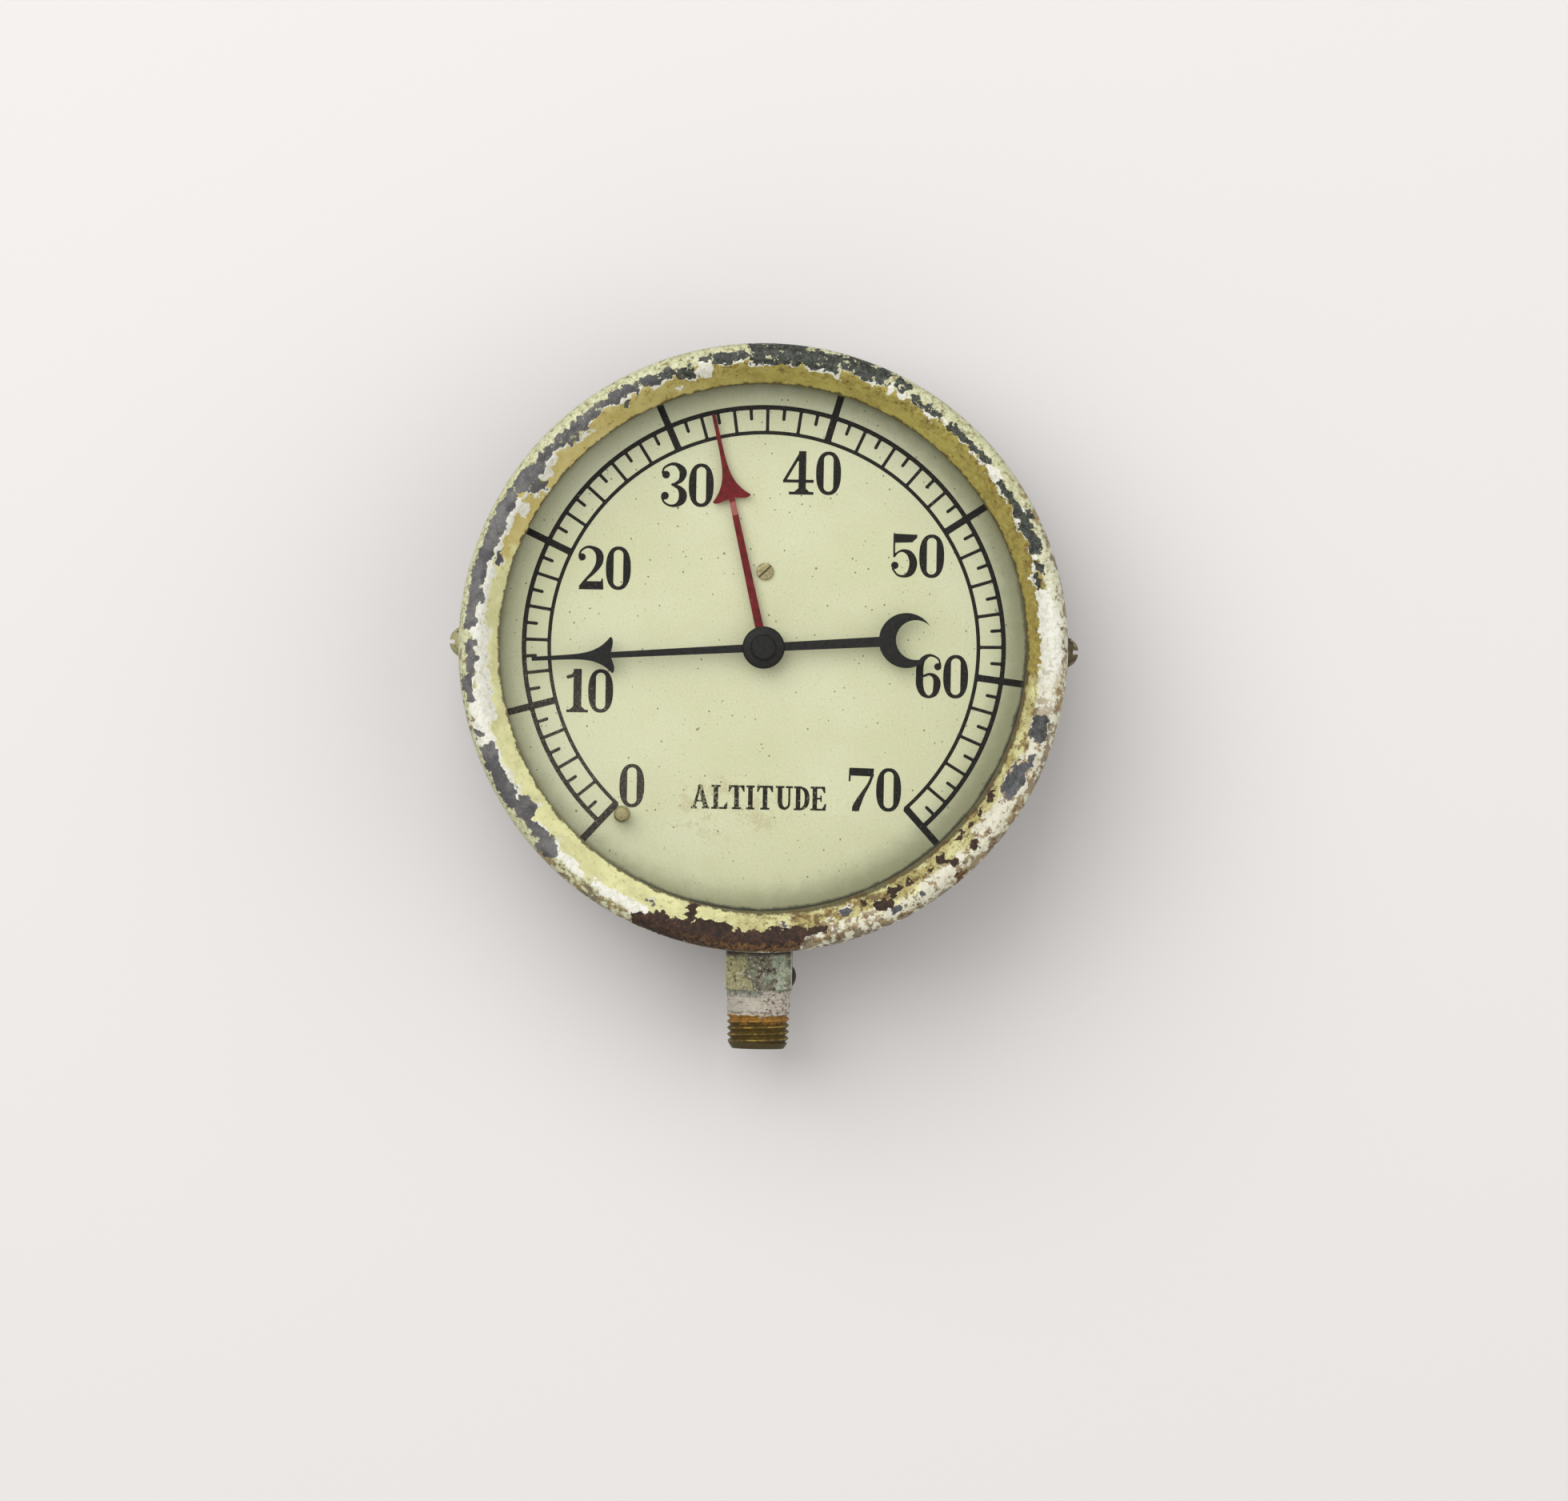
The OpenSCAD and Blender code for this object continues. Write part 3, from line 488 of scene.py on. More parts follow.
def ringPaint(place):
    # ochre and cream paint over a white undercoat over bare steel, each layer worn off the one below
    chip, white, rust, stain, ochre, grime, reach = [place.field(name) for name in ringFields]
    across = place.axis(0)
    up = place.axis(2) - dialHeight
    ragged = place.noise(1.5, 5, 0.65) - 0.5
    grain = place.noise(0.5, 4, 0.65)
    cloud = place.noise(5, 5, 0.6)
    mottle = place.noise(1.1, 5, 0.7)
    flake = place.noise(2.2, 4, 0.55)
    broad = place.noise(13, 5, 0.6)
    edge = ragged * 2.2 + grain * 1.1 - 0.55
    left = across.between(*ringWearAndLight["leftSide"])
    brown = cloud.tones("8f7038", "5e4730", 0.42, 0.58)

    # slope: cream, with ochre over its top and right
    cream = coat(cloud.tones("e6e4ab", "d3d09a", 0.38, 0.62),
                 (mottle.between(0.54, 0.66) * (1 - left * 0.6), "bfb884"))
    smear = (reach + ragged * 3).between(*ringWearAndLight["smear"]) * mottle.between(0.52, 0.6)
    dot = place.specks(1.5, 0.33) * place.noise(5, 3).between(0.47, 0.54)
    yellow = coat(cloud.tones("b1a453", "9c8d43", 0.36, 0.64),
                  (mottle.between(0.46, 0.36) * 0.7, "b9b366"),
                  (left, cloud.tones("d6c683", "c9b76c", 0.36, 0.64)),
                  (across.between(*ringWearAndLight["rightSide"]) * 0.55, mottle.tones("a0904a", "7f6d36")),
                  (smear * (0.85 - left * 0.6), "7d622c"),
                  (dot * (0.8 - left * 0.3), "5c4a28"),
                  (grain.between(0.6, 0.68) * 0.45, "6e5a2c"))

    # past the crest: speckled cream-green, paler at the lower right as painted bounce light, then the skirt
    # painted bounce light: paler paint and more pale flecks towards the lower right
    paintedBounceLight = (across * 0.7 - up * 0.7).between(*ringWearAndLight["paintedBounceLight"])
    spot = place.specks(2.4, 0.5) * place.noise(6, 3).between(0.47, 0.54)
    spot = spot * (reach + ragged * 3).between(*ringWearAndLight["outerSpots"])
    outer = coat(mottle.tones("d3d3ab", "b5b588", 0.42, 0.58),
                 (paintedBounceLight * 0.55, "e9e5d6"),
                 (grain.between(0.54, 0.62) * (0.45 + paintedBounceLight * 0.4), "efeddf"),
                 (mottle.between(0.57, 0.64) * 0.85, "7d6a40"),
                 (grain.between(0.38, 0.33) * 0.8, "5f6448"),
                 (spot * 0.75, "565044"))
    side = coat(broad.tones("d2d1a2", "b9b886", 0.38, 0.62),
                (place.noise(2.2, 6, 0.75).between(0.53, 0.63) * 0.6, "e4e2c2"),
                (place.noise(3, 6, 0.75, (1, 0.35, 1)).between(0.6, 0.68) * 0.75, "8f7a48"))
    skirt = (reach + ragged * 4).between(*ringWearAndLight["skirt"])
    wash = grime * (reach + ragged * 3).between(*ringWearAndLight["wash"])
    wash = wash * (0.3 + cloud.between(0.4, 0.6) * 0.55)
    freckle = (grain * 0.6 + mottle * 0.5 + grime * 0.02 - skirt * 0.03).between(0.63, 0.68)
    paint = coat(cream,
                 ((ochre + (cloud - 0.5) * 1.2).between(0.35, 0.65), yellow),
                 ((reach + ragged * 2.5).between(*ringWearAndLight["outerPaint"]), outer),
                 (skirt, side),
                 (wash, mottle.tones("a99c5c", "7f6b38", 0.42, 0.6)),
                 ((stain + edge).between(-0.3, 0.4) * flake.between(0.44, 0.52) * 0.75, brown),
                 (freckle * (0.85 - left * 0.55), brown))

    # layers below: undercoat, steel that is dark at the upper right, rust
    isWhite = (white + edge).between(-0.06, 0.06)
    under = coat(mottle.tones("eeede3", "dad9c6", 0.4, 0.62),
                 (grime * 0.45, "c5bd9c"),
                 ((freckle * 0.45).atLeast(grime * flake.between(0.56, 0.59) * 0.8), brown))
    blotch = grime * place.noise(3.4, 5, 0.7).between(0.545, 0.575)
    blotch = blotch * (reach + ragged * 4).between(*ringWearAndLight["blotches"])
    # dark line along the lip: painted shade of the gap between lip and glass, wider with dirt in the grimy
    # part
    line = (reach + ragged * 2 - grime * 0.5).between(*ringWearAndLight["lipShadeAndDirt"])
    rear = reach + (broad - 0.5) * 30 + ragged * 5
    rear = rear.between(*ringWearAndLight["rearEdge"])
    scrape = skirt * place.noise(4.5, 6, 0.7).between(0.655, 0.665).atLeast(rear)
    isChip = (chip + edge).between(-0.05, 0.05).atLeast(scrape)
    darkSide = (up * 0.75 + across * 0.65 + (cloud - 0.5) * 60).between(*ringWearAndLight["darkSide"])
    kept = place.noise(1.6, 4, 0.7).between(0.59, 0.61) * up.between(*ringWearAndLight["topFlecks"])
    bare = coat(mottle.tones("43444a", "5c5d62"),
                (left, cloud.tones("504e50", "706e6c")),
                (mottle.between(0.52, 0.62) * 0.35, "413e3f"),
                (darkSide, mottle.tones("20231e", "454940")),
                (place.noise(2.4, 6, 0.75).between(0.57, 0.63) * 0.4, "34312f"),
                (grain.between(0.6, 0.66) * 0.4, "a5a194"),
                (kept * 0.9, outer))
    isRust = (rust + edge * 1.1).between(-0.06, 0.06).atLeast(scrape * mottle.between(0.5, 0.56))
    tan = across.between(*ringWearAndLight["tanSide"]) * (reach + ragged * 5).between(*ringWearAndLight["tanReach"])
    tan = tan * mottle.between(0.42, 0.56)
    scab = coat(mottle.tones("271b15", "422d20", 0.38, 0.62),
                (cloud.between(0.5, 0.6) * grain.between(0.45, 0.6) * 0.8, "573a2b"),
                (tan * 0.75, "866337"),
                (grain.between(0.66, 0.72) * 0.7, "a98f72"))
    colour = coat(paint,
                  (isWhite, under),
                  (blotch * 0.8, mottle.tones("937a45", "5c4428", 0.42, 0.58)),
                  # painted shade and dirt along the lip
                  (line * 0.85, cloud.tones("38351f", "4a3722")),
                  (isChip, bare),
                  (isRust, scab))
    dull = 0.4 + isRust * 0.35 + isChip * 0.08 + (grain - 0.5) * 0.3
    height = (1 - isChip) * 0.05 - isWhite * 0.02 + ragged * (0.06 - isChip * 0.045)
    height = height + grain * (0.05 + isRust * 0.14)
    return {"Base Color": colour, "Roughness": dull, "Normal": place.bump(height)}


def spread(angle, start, end, soft):
    # 1 between two directions in degrees, fading to 0 over the soft degrees outside them
    off = np.abs((angle - (start + end) / 2 + 180) % 360 - 180) - (end - start) / 2
    return np.clip(1 - off / soft, 0, 1)


def makeRing():
    # revolve of the section: right = r sin a, up = r cos a, with worn patches sunk along the normal
    section, frontCount, beadForward = ringProfile()
    ahead = np.roll(section, -1, axis=0) - np.roll(section, 1, axis=0)
    normal = np.stack([-ahead[:, 1], ahead[:, 0]], axis=-1) / np.hypot(ahead[:, 0], ahead[:, 1])[:, None]
    outer = section[:, 0].max()
    reach = section[:, 0] + np.where(section[:, 0] > outer - 0.01, (beadForward - section[:, 1]).clip(0), 0)
    reach[frontCount:] = 0     # the hidden inside has no patches
    turns = np.linspace(0, 360, ring["turns"], endpoint=False)
    angle, reach = np.meshgrid(turns, reach, indexing="ij")
    sine = np.sin(np.radians(angle))
    cosine = np.cos(np.radians(angle))
    at = toFrame(section[:, 0] * sine, section[:, 0] * cosine, section[:, 1]) / mm
    angle = angle.ravel() + ring["patchTurn"]
    for length, seed, degrees in ring["raggedTurn"]:
        angle = angle + waves(at, length, seed) * degrees
    plain = reach.ravel()
    reach = plain
    for length, seed, size in ring["raggedReach"]:
        reach = reach + waves(at, length, seed) * size
    chip = patchField(angle, reach, chipPatches)
    rim = patchField(angle, reach + ring["undercoatShift"], chipPatches)
    length, seed, size = ring["rimWaves"]
    rim = rim - ring["undercoatInset"] + size * waves(at, length, seed)
    white = np.maximum(patchField(angle, reach, whitePatches), rim)
    rust = patchField(angle, reach, rustPatches)
    stain = patchField(angle, reach, stainPatches)
    ochre = spread(angle, ring["ochreFrom"], ring["ochreTo"], ring["ochreSoft"])
    grime = spread(angle, ring["grimeFrom"], ring["grimeTo"], ring["grimeSoft"])
    step = ring["sinkEdge"]
    sunk = ring["chipDepth"] * np.clip(np.maximum(chip, rust) / step, 0, 1)
    pits = (1 + waves(at, *ring["pitWaves"])).clip(0, 2) / 2
    sunk = sunk + ring["rustPits"] * np.clip(rust / step, 0, 1) * pits
    sunk = sunk.reshape(sine.shape)
    radius = section[:, 0] - sunk * normal[:, 0]
    forward = section[:, 1] - sunk * normal[:, 1]
    points = toFrame(radius * sine, radius * cosine, forward)
    finish = makeFinish("ringPaint", {"IOR": 1.45}, ringPaint)
    piece = makePiece("ring_pressing", points, gridQuads(*sine.shape, True, True), finish)
    for name, values in zip(ringFields, (chip, white, rust, stain, ochre, grime, plain)):
        addField(piece, name, values)
    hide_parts("ring")


makeRing()


# dial print: shapes are distance fields, positive inside, cut to a mesh along their edge
printing = {
    "lift": 0.04,              # mm of ink above the dial's paint
    "cell": 0.11,
    "wordCell": 0.08,
    "knotSteps": 8,            # straight pieces of a line from one knot to the next
    "digitSpan": (-3.8, 3.8, 5.1),    # left, right and half height of a digit's grid
    "letterSpan": (-0.3, 4.3, 3.0),
    "pairSpacing": {"1": (-2.65, 2.4), "4": (-3.26, 3.26)},  # places of a figure's two digits, by its first
    "usualSpacing": (-2.97, 2.97),
    "thinInk": (-14, -50),     # limits towards the lower left, mm
    "wordFade": (2, -16),      # limits to the right, mm
}
printLook = {"Specular IOR Level": 0.2}


def barField(x, y, left, low, right, high):
    # least distance to the four sides
    return -np.maximum(np.abs(x - (left + right) / 2) - (right - left) / 2,
                       np.abs(y - (low + high) / 2) - (high - low) / 2)


def dotField(x, y, atX, atY, radius):
    return radius - np.hypot(x - atX, y - atY)


def lineField(x, y, *knots):
    # smooth line through the knots (x, y, half width), as a chain of tapered round segments
    knots = np.array(knots)
    ends = np.vstack([2 * knots[0] - knots[1], knots, 2 * knots[-1] - knots[-2]])
    t = np.linspace(0, 1, printing["knotSteps"], endpoint=False)[:, None]
    line = [0.5 * (2 * b + (c - a) * t + (2 * a - 5 * b + 4 * c - d) * t ** 2
                   + (3 * b - a - 3 * c + d) * t ** 3)
            for a, b, c, d in zip(ends[:-3], ends[1:-2], ends[2:-1], ends[3:])]
    line = np.vstack(line + [knots[-1:]])
    field = np.full(x.shape, -9.0)
    for start, end in zip(line[:-1], line[1:]):
        dx, dy, dw = end - start
        s = (((x - start[0]) * dx + (y - start[1]) * dy) / (dx * dx + dy * dy)).clip(0, 1)
        gap = np.hypot(x - start[0] - s * dx, y - start[1] - s * dy)
        field = np.maximum(field, start[2] + s * dw - gap)
    return field


def areaField(x, y, *corners):
    # distance to the outline, positive where an even-odd ray test says inside
    corners = np.array(corners)
    gap = np.full(x.shape, 9.0)
    inside = np.zeros(x.shape, dtype=bool)
    for (ax, ay), (bx, by) in zip(corners, np.roll(corners, -1, axis=0)):
        s = (((x - ax) * (bx - ax) + (y - ay) * (by - ay)) / ((bx - ax) ** 2 + (by - ay) ** 2)).clip(0, 1)
        gap = np.minimum(gap, np.hypot(x - ax - s * (bx - ax), y - ay - s * (by - ay)))
        crosses = (ay > y) != (by > y)
        rise = by - ay if by != ay else 1e-9
        inside ^= crosses & (x < ax + (y - ay) * (bx - ax) / rise)
    return np.where(inside, gap, -gap)


zero = {"halfWidth": 2.71, "halfHeight": 4.73, "power": 2.35, "counterRadius": 1.05, "counterReach": 2.93}


def nought(x, y):
    # superellipse with a round-ended counter
    far = (np.abs(x) / zero["halfWidth"]) ** zero["power"] + (np.abs(y) / zero["halfHeight"]) ** zero["power"]
    outer = (1 - far ** (1 / zero["power"])) * zero["halfWidth"]
    counter = zero["counterRadius"] - np.hypot(x, y - y.clip(-zero["counterReach"], zero["counterReach"]))
    return np.minimum(outer, -counter)


digits = {
    "0": [(nought, ())],
    "1": [(barField, (-0.88, -4.73, 0.88, 4.73)), (barField, (-2.35, -4.73, 2.35, -4.15)),
          (lineField, ((-0.3, 4.2, 0.5), (-1, 3.3, 0.38), (-2.05, 2.95, 0.38))),
          (lineField, ((-0.6, -3.5, 0.25), (-1.6, -4.35, 0.2))),
          (lineField, ((0.6, -3.5, 0.25), (1.6, -4.35, 0.2)))],
    "2": [(dotField, (-1.97, 2.32, 0.78)),
          (lineField, ((-2.62, 2.6, 0.2), (-2.2, 3.7, 0.22), (-0.9, 4.5, 0.26), (0.5, 4.25, 0.42),
                       (1.55, 3.4, 0.72), (1.88, 2.2, 0.82), (1.6, 0.7, 0.68), (0.55, -0.9, 0.45),
                       (-1, -2.5, 0.3), (-2.3, -4.1, 0.3))),
          (areaField, ((-2.78, -4.72), (-0.95, -2.92), (2.15, -2.92), (2.35, -2.3), (2.6, -2.3),
                       (2.75, -4.72)))],
    "3": [(dotField, (-1.75, 2.19, 0.84)), (dotField, (-1.91, -2.39, 0.84)),
          (lineField, ((-2.55, 2.6, 0.18), (-2.1, 3.7, 0.22), (-0.6, 4.5, 0.3), (0.7, 4.3, 0.45),
                       (1.75, 3.3, 0.75), (1.95, 2.3, 0.78), (1.45, 1, 0.5), (0.3, 0.25, 0.28),
                       (-0.3, 0.05, 0.3))),
          (lineField, ((0, -0.1, 0.3), (1.2, -0.7, 0.5), (1.95, -1.9, 0.85), (1.8, -3.3, 0.8),
                       (0.8, -4.3, 0.45), (-0.6, -4.55, 0.25), (-2, -3.9, 0.22), (-2.6, -2.7, 0.2)))],
    "4": [(barField, (0.02, -4.73, 1.62, 4.73)), (lineField, ((0.5, 4.35, 0.32), (-3.05, -1.75, 0.32))),
          (barField, (-3.35, -2.14, 3.3, -1.48)), (barField, (-2.05, -4.73, 3.3, -4.12)),
          (lineField, ((0.2, -3.5, 0.25), (-0.8, -4.3, 0.2))),
          (lineField, ((1.4, -3.5, 0.25), (2.3, -4.3, 0.2)))],
    "5": [(areaField, ((-2.28, 4.8), (2.75, 4.62), (2.7, 3.95), (1.7, 2.95), (-1.95, 2.8))),
          (barField, (-2.44, -0.25, -2.04, 4.7)), (dotField, (-2.05, -2.12, 0.8)),
          (lineField, ((-2.2, -0.2, 0.2), (-1.4, 0.75, 0.2), (-0.2, 1.1, 0.32), (1.2, 0.4, 0.65),
                       (1.95, -1.4, 0.85), (1.5, -3.4, 0.75), (0.2, -4.4, 0.35), (-1.4, -4.2, 0.22),
                       (-2.5, -2.9, 0.2)))],
    "6": [(dotField, (2.02, 2.1, 0.78)),
          (lineField, ((2.6, 2.6, 0.18), (2, 3.9, 0.2), (0.4, 4.55, 0.28), (-1, 3.9, 0.5), (-1.8, 2.3, 0.75),
                       (-1.9, 0, 0.8), (-1.85, -2, 0.78), (-1.2, -3.7, 0.6), (0.1, -4.5, 0.3),
                       (1.4, -3.8, 0.55), (1.85, -2.3, 0.78), (1.85, -1, 0.75), (1.3, 0, 0.5),
                       (0.2, 0.45, 0.28), (-0.9, 0.05, 0.25)))],
    "7": [(areaField, ((-2.6, 4.7), (2.7, 4.6), (2.55, 2.85), (-2.25, 3.0))),
          (lineField, ((-2.5, 4.4, 0.2), (-2.6, 1.9, 0.2))),
          (lineField, ((2.4, 3.2, 0.3), (1.6, 1.2, 0.32), (0.3, -1, 0.48), (-0.7, -3, 0.75),
                       (-1.15, -4, 0.8))),
          (areaField, ((-2.03, -4.72), (-0.4, -4.72), (-0.25, -3.6), (0.4, -2), (-0.75, -1.6),
                       (-1.75, -3.4)))],
}

# capitals of the dial's word: x from the letter's left edge, y from the word's middle
capHalf = 2.61
serifIn = 2.18
capTop = 2.4                   # middle line of the serifs
thick = 0.5                    # half widths of the strokes
thin = 0.22


def post(left, right, low=-capHalf):
    # upright bar from the letter's foot, or from low, to its head
    return barField, (left, low, right, capHalf)


def head(left, right):
    # serif or arm along the top
    return barField, (left, serifIn, right, capHalf)


def foot(left, right):
    # serif or arm along the bottom
    return barField, (left, -capHalf, right, -serifIn)


capitals = {
    "A": [(lineField, ((0.6, -capTop, 0.28), (1.95, capTop, 0.28))), foot(0, 1.3), foot(2.4, 4.0),
          (lineField, ((1.95, 2.2, thick), (3.2, -2.1, thick))), (barField, (1.0, -1.1, 2.9, -0.7))],
    "L": [post(0.5, 1.5), head(0, 2), foot(0, 3.45),
          (areaField, ((2.6, -2.4), (3.3, -1.1), (3.55, -1.1), (3.45, -capHalf)))],
    "T": [post(1.3, 2.3), head(0.1, 3.5), foot(0.8, 2.8),
          (areaField, ((0.1, 2.6), (0.05, 1.2), (0.3, 1.2), (0.9, 2.4))),
          (areaField, ((3.5, 2.6), (3.55, 1.2), (3.3, 1.2), (2.7, 2.4)))],
    "I": [post(0.42, 1.42), head(0, 1.84), foot(0, 1.84)],
    "U": [post(0.45, 1.45, -1.2), head(0, 1.9), head(2.2, 3.75),
          (lineField, ((0.95, -0.9, thick), (1.2, -1.8, 0.45), (1.95, -2.3, 0.3), (2.7, -1.9, 0.25),
                       (2.97, -1, thin), (2.97, 2.4, thin)))],
    "D": [post(0.4, 1.4), head(0, 1.4), foot(0, 1.4),
          (lineField, ((1.0, capTop, thin), (1.7, 2.3, 0.25), (2.6, 1.5, 0.45), (2.87, 0, 0.52),
                       (2.6, -1.5, 0.45), (1.7, -2.3, 0.25), (1.0, -capTop, thin)))],
    "E": [post(0.45, 1.45), head(0, 3.15), foot(0, 3.3), (barField, (1.2, -0.2, 2.3, 0.2)),
          (barField, (2.15, -0.7, 2.45, 0.7)),
          (areaField, ((3.15, 2.6), (3.2, 1.2), (2.95, 1.2), (2.3, 2.4))),
          (areaField, ((3.3, -2.6), (3.45, -1.1), (3.2, -1.1), (2.4, -2.4)))],
}

numerals = {                   # right and up of the dial's centre, mm
    "0": (-28.19, -30.62),
    "10": (-37.74, -10.13),
    "20": (-34.91, 16.65),
    "30": (-17.19, 35.0),
    "40": (10.18, 38.08),
    "50": (33.22, 20.44),
    "60": (38.89, -5.67),
    "70": (24.74, -30.57),
}
word = {
    "letters": "ALTITUDE",
    "lefts": (-14.7, -10.3, -6.6, -2.7, -0.4, 3.7, 7.7, 11.3),
    "at": (-0.56, -32.74),
}
scale = {
    "first": 2,
    "last": 70,
    "firstAngle": 42.4,        # degrees clockwise from straight down
    "sweep": 275.2,
    "outerArc": 52.2,
    "outerLine": 1.0,
    "innerArc": 46.7,
    "innerLine": 0.8,
    "majorEnd": 57.5,
    "majorWidth": 1.5,
    "minorWidth": 0.7,
    "oddStart": 49.4,
    "soften": 0.25,
    "margin": (1.5, 0.9, 0.4),  # degrees past the ends, mm inside and outside the marks
}


def cutField(field, u, v):
    # cells with a corner inside stay; their outer corners slide to the edge, p - f g / (g.g)
    slopeU, slopeV = np.gradient(field, u, v)
    steep = slopeU ** 2 + slopeV ** 2 + 1e-6
    reach = 1.5 * (u[1] - u[0])
    shift = np.where(field < 0, -field / steep, 0)
    gridU, gridV = np.meshgrid(u, v, indexing="ij")
    gridU = gridU + (shift * slopeU).clip(-reach, reach)
    gridV = gridV + (shift * slopeV).clip(-reach, reach)
    quads = gridQuads(u.size, v.size)
    quads = quads[(field.ravel()[quads] > 0).any(axis=1)]
    used, quads = np.unique(quads, return_inverse=True)
    return gridU.ravel()[used], gridV.ravel()[used], quads.reshape(-1, 4)


def cutGlyph(shapes, left, right, half, cell):
    # largest of the shapes' fields, cut along its edge
    u = np.arange(left, right, cell)
    v = np.arange(-half, half, cell)
    x, y = np.meshgrid(u, v, indexing="ij")
    return cutField(np.maximum.reduce([draw(x, y, *how) for draw, how in shapes]), u, v)


def joinPrints(name, prints, finish):
    # prints: (u, v, quads, right, up), joined into one sheet of ink
    rights = np.concatenate([u + right for u, v, quads, right, up in prints])
    ups = np.concatenate([v + up for u, v, quads, right, up in prints])
    starts = np.cumsum([0] + [u.size for u, *rest in prints])
    quads = np.vstack([quads + start for (u, v, quads, right, up), start in zip(prints, starts)])
    return makePiece(name, toFrame(rights, ups, dialFront + printing["lift"]), quads, finish)


def softUnion(first, second, soften):
    # larger of two fields, with a small fillet where they meet
    mixed = np.clip(0.5 + 0.5 * (first - second) / soften, 0, 1)
    return second + (first - second) * mixed + soften * mixed * (1 - mixed)


def scaleField(angle, radius):
    # two arcs and the nearest mark, in mm; marks run between the arcs, the tens out past them
    perMark = scale["sweep"] / (scale["last"] - scale["first"])
    step = np.rint((angle - scale["firstAngle"]) / perMark).clip(0, scale["last"] - scale["first"])
    mark = step + scale["first"]
    beside = np.abs(np.radians(angle - scale["firstAngle"] - step * perMark)) * radius
    major = (mark % 10 == 0) | (mark == scale["first"])
    odd = mark % 2 == 1
    half = np.where(major, scale["majorWidth"], scale["minorWidth"]) / 2
    low = np.where(odd, scale["oddStart"], scale["innerArc"])
    high = np.where(major, scale["majorEnd"], scale["outerArc"])
    marks = half - np.hypot(beside, np.maximum(low + half - radius, radius - high + half).clip(0))
    marks = np.where(major, np.minimum(half - beside, np.minimum(radius - low, high - radius)), marks)
    past = np.abs(angle - scale["firstAngle"] - scale["sweep"] / 2) - scale["sweep"] / 2
    past = (np.radians(past) * radius).clip(0)
    outer = scale["outerLine"] / 2 - np.hypot(past, radius - scale["outerArc"])
    inner = scale["innerLine"] / 2 - np.hypot(past, radius - scale["innerArc"])
    return softUnion(np.maximum(outer, inner), marks, scale["soften"])


def inkPaint(place):
    # stoved black print with pale grains, browner and thinner at the lower left of the dial
    freckle = place.noise(0.5, 4, 0.75)
    slant = place.axis(2) - dialHeight + place.axis(0) * 0.6
    low = (slant + (place.noise(9, 3) - 0.5) * 60).between(*printing["thinInk"])
    colour = coat(freckle.tones("141312", "282622", 0.38, 0.62),
                  (low * 0.85, freckle.tones("3a3531", "5b534a")),
                  ((freckle + low * 0.05).between(0.64, 0.7) * 0.75, "a9a78c"))
    return {"Base Color": colour, "Roughness": 0.45 + freckle * 0.2}


def wordPaint(place):
    # the word is more worn than the scale, most at its left end, in hard-edged flakes
    freckle = place.noise(0.75, 5, 0.75)
    fade = place.axis(0).between(*printing["wordFade"])
    colour = coat(freckle.tones("171613", "2f2b25"),
                  (fade, freckle.tones("262620", "45453a")),
                  ((freckle + fade * 0.075 - 0.025).between(0.57, 0.61) * 0.9, "bcb88c"))
    return {"Base Color": colour, "Roughness": 0.45 + freckle * 0.2}


def makePrint():
    ink = makeFinish("dialInk", printLook, inkPaint)
    cell = printing["cell"]
    past, inside, outside = scale["margin"]
    u = np.arange(scale["firstAngle"] - past, scale["firstAngle"] + scale["sweep"] + past,
                  math.degrees(cell / scale["outerArc"]))
    v = np.arange(scale["innerArc"] - inside, scale["majorEnd"] + outside, cell)
    angle, radius = np.meshgrid(u, v, indexing="ij")
    arc = np.radians(u) * scale["outerArc"]
    along, radius, quads = cutField(scaleField(angle, radius), arc, v)
    angle = along / scale["outerArc"]
    points = toFrame(-radius * np.sin(angle), -radius * np.cos(angle), dialFront + printing["lift"])
    makePiece("dial_scale", points, quads, ink)
    prints = []
    for figure, (right, up) in numerals.items():
        offsets = (0,)
        if len(figure) == 2:
            offsets = printing["pairSpacing"].get(figure[0], printing["usualSpacing"])
        for digit, offset in zip(figure, offsets):
            cut = cutGlyph(digits[digit], *printing["digitSpan"], cell)
            prints.append((*cut, right + offset, up))
    joinPrints("dial_numerals", prints, ink)
    prints = []
    for letter, left in zip(word["letters"], word["lefts"]):
        cut = cutGlyph(capitals[letter], *printing["letterSpan"], printing["wordCell"])
        prints.append((*cut, word["at"][0] + left, word["at"][1]))
    joinPrints("dial_word", prints, makeFinish("dialWordInk", printLook, wordPaint))


makePrint()


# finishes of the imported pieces; pairs are limits from none to full, in mm
dialStainsAndShade = {
    "stainLeft": 7,            # of the dial's centre
    "stainDrop": 2.5,          # below the word's middle
    # painted shade of the ring over the dial's edge
    "edge": (51, 59),
}


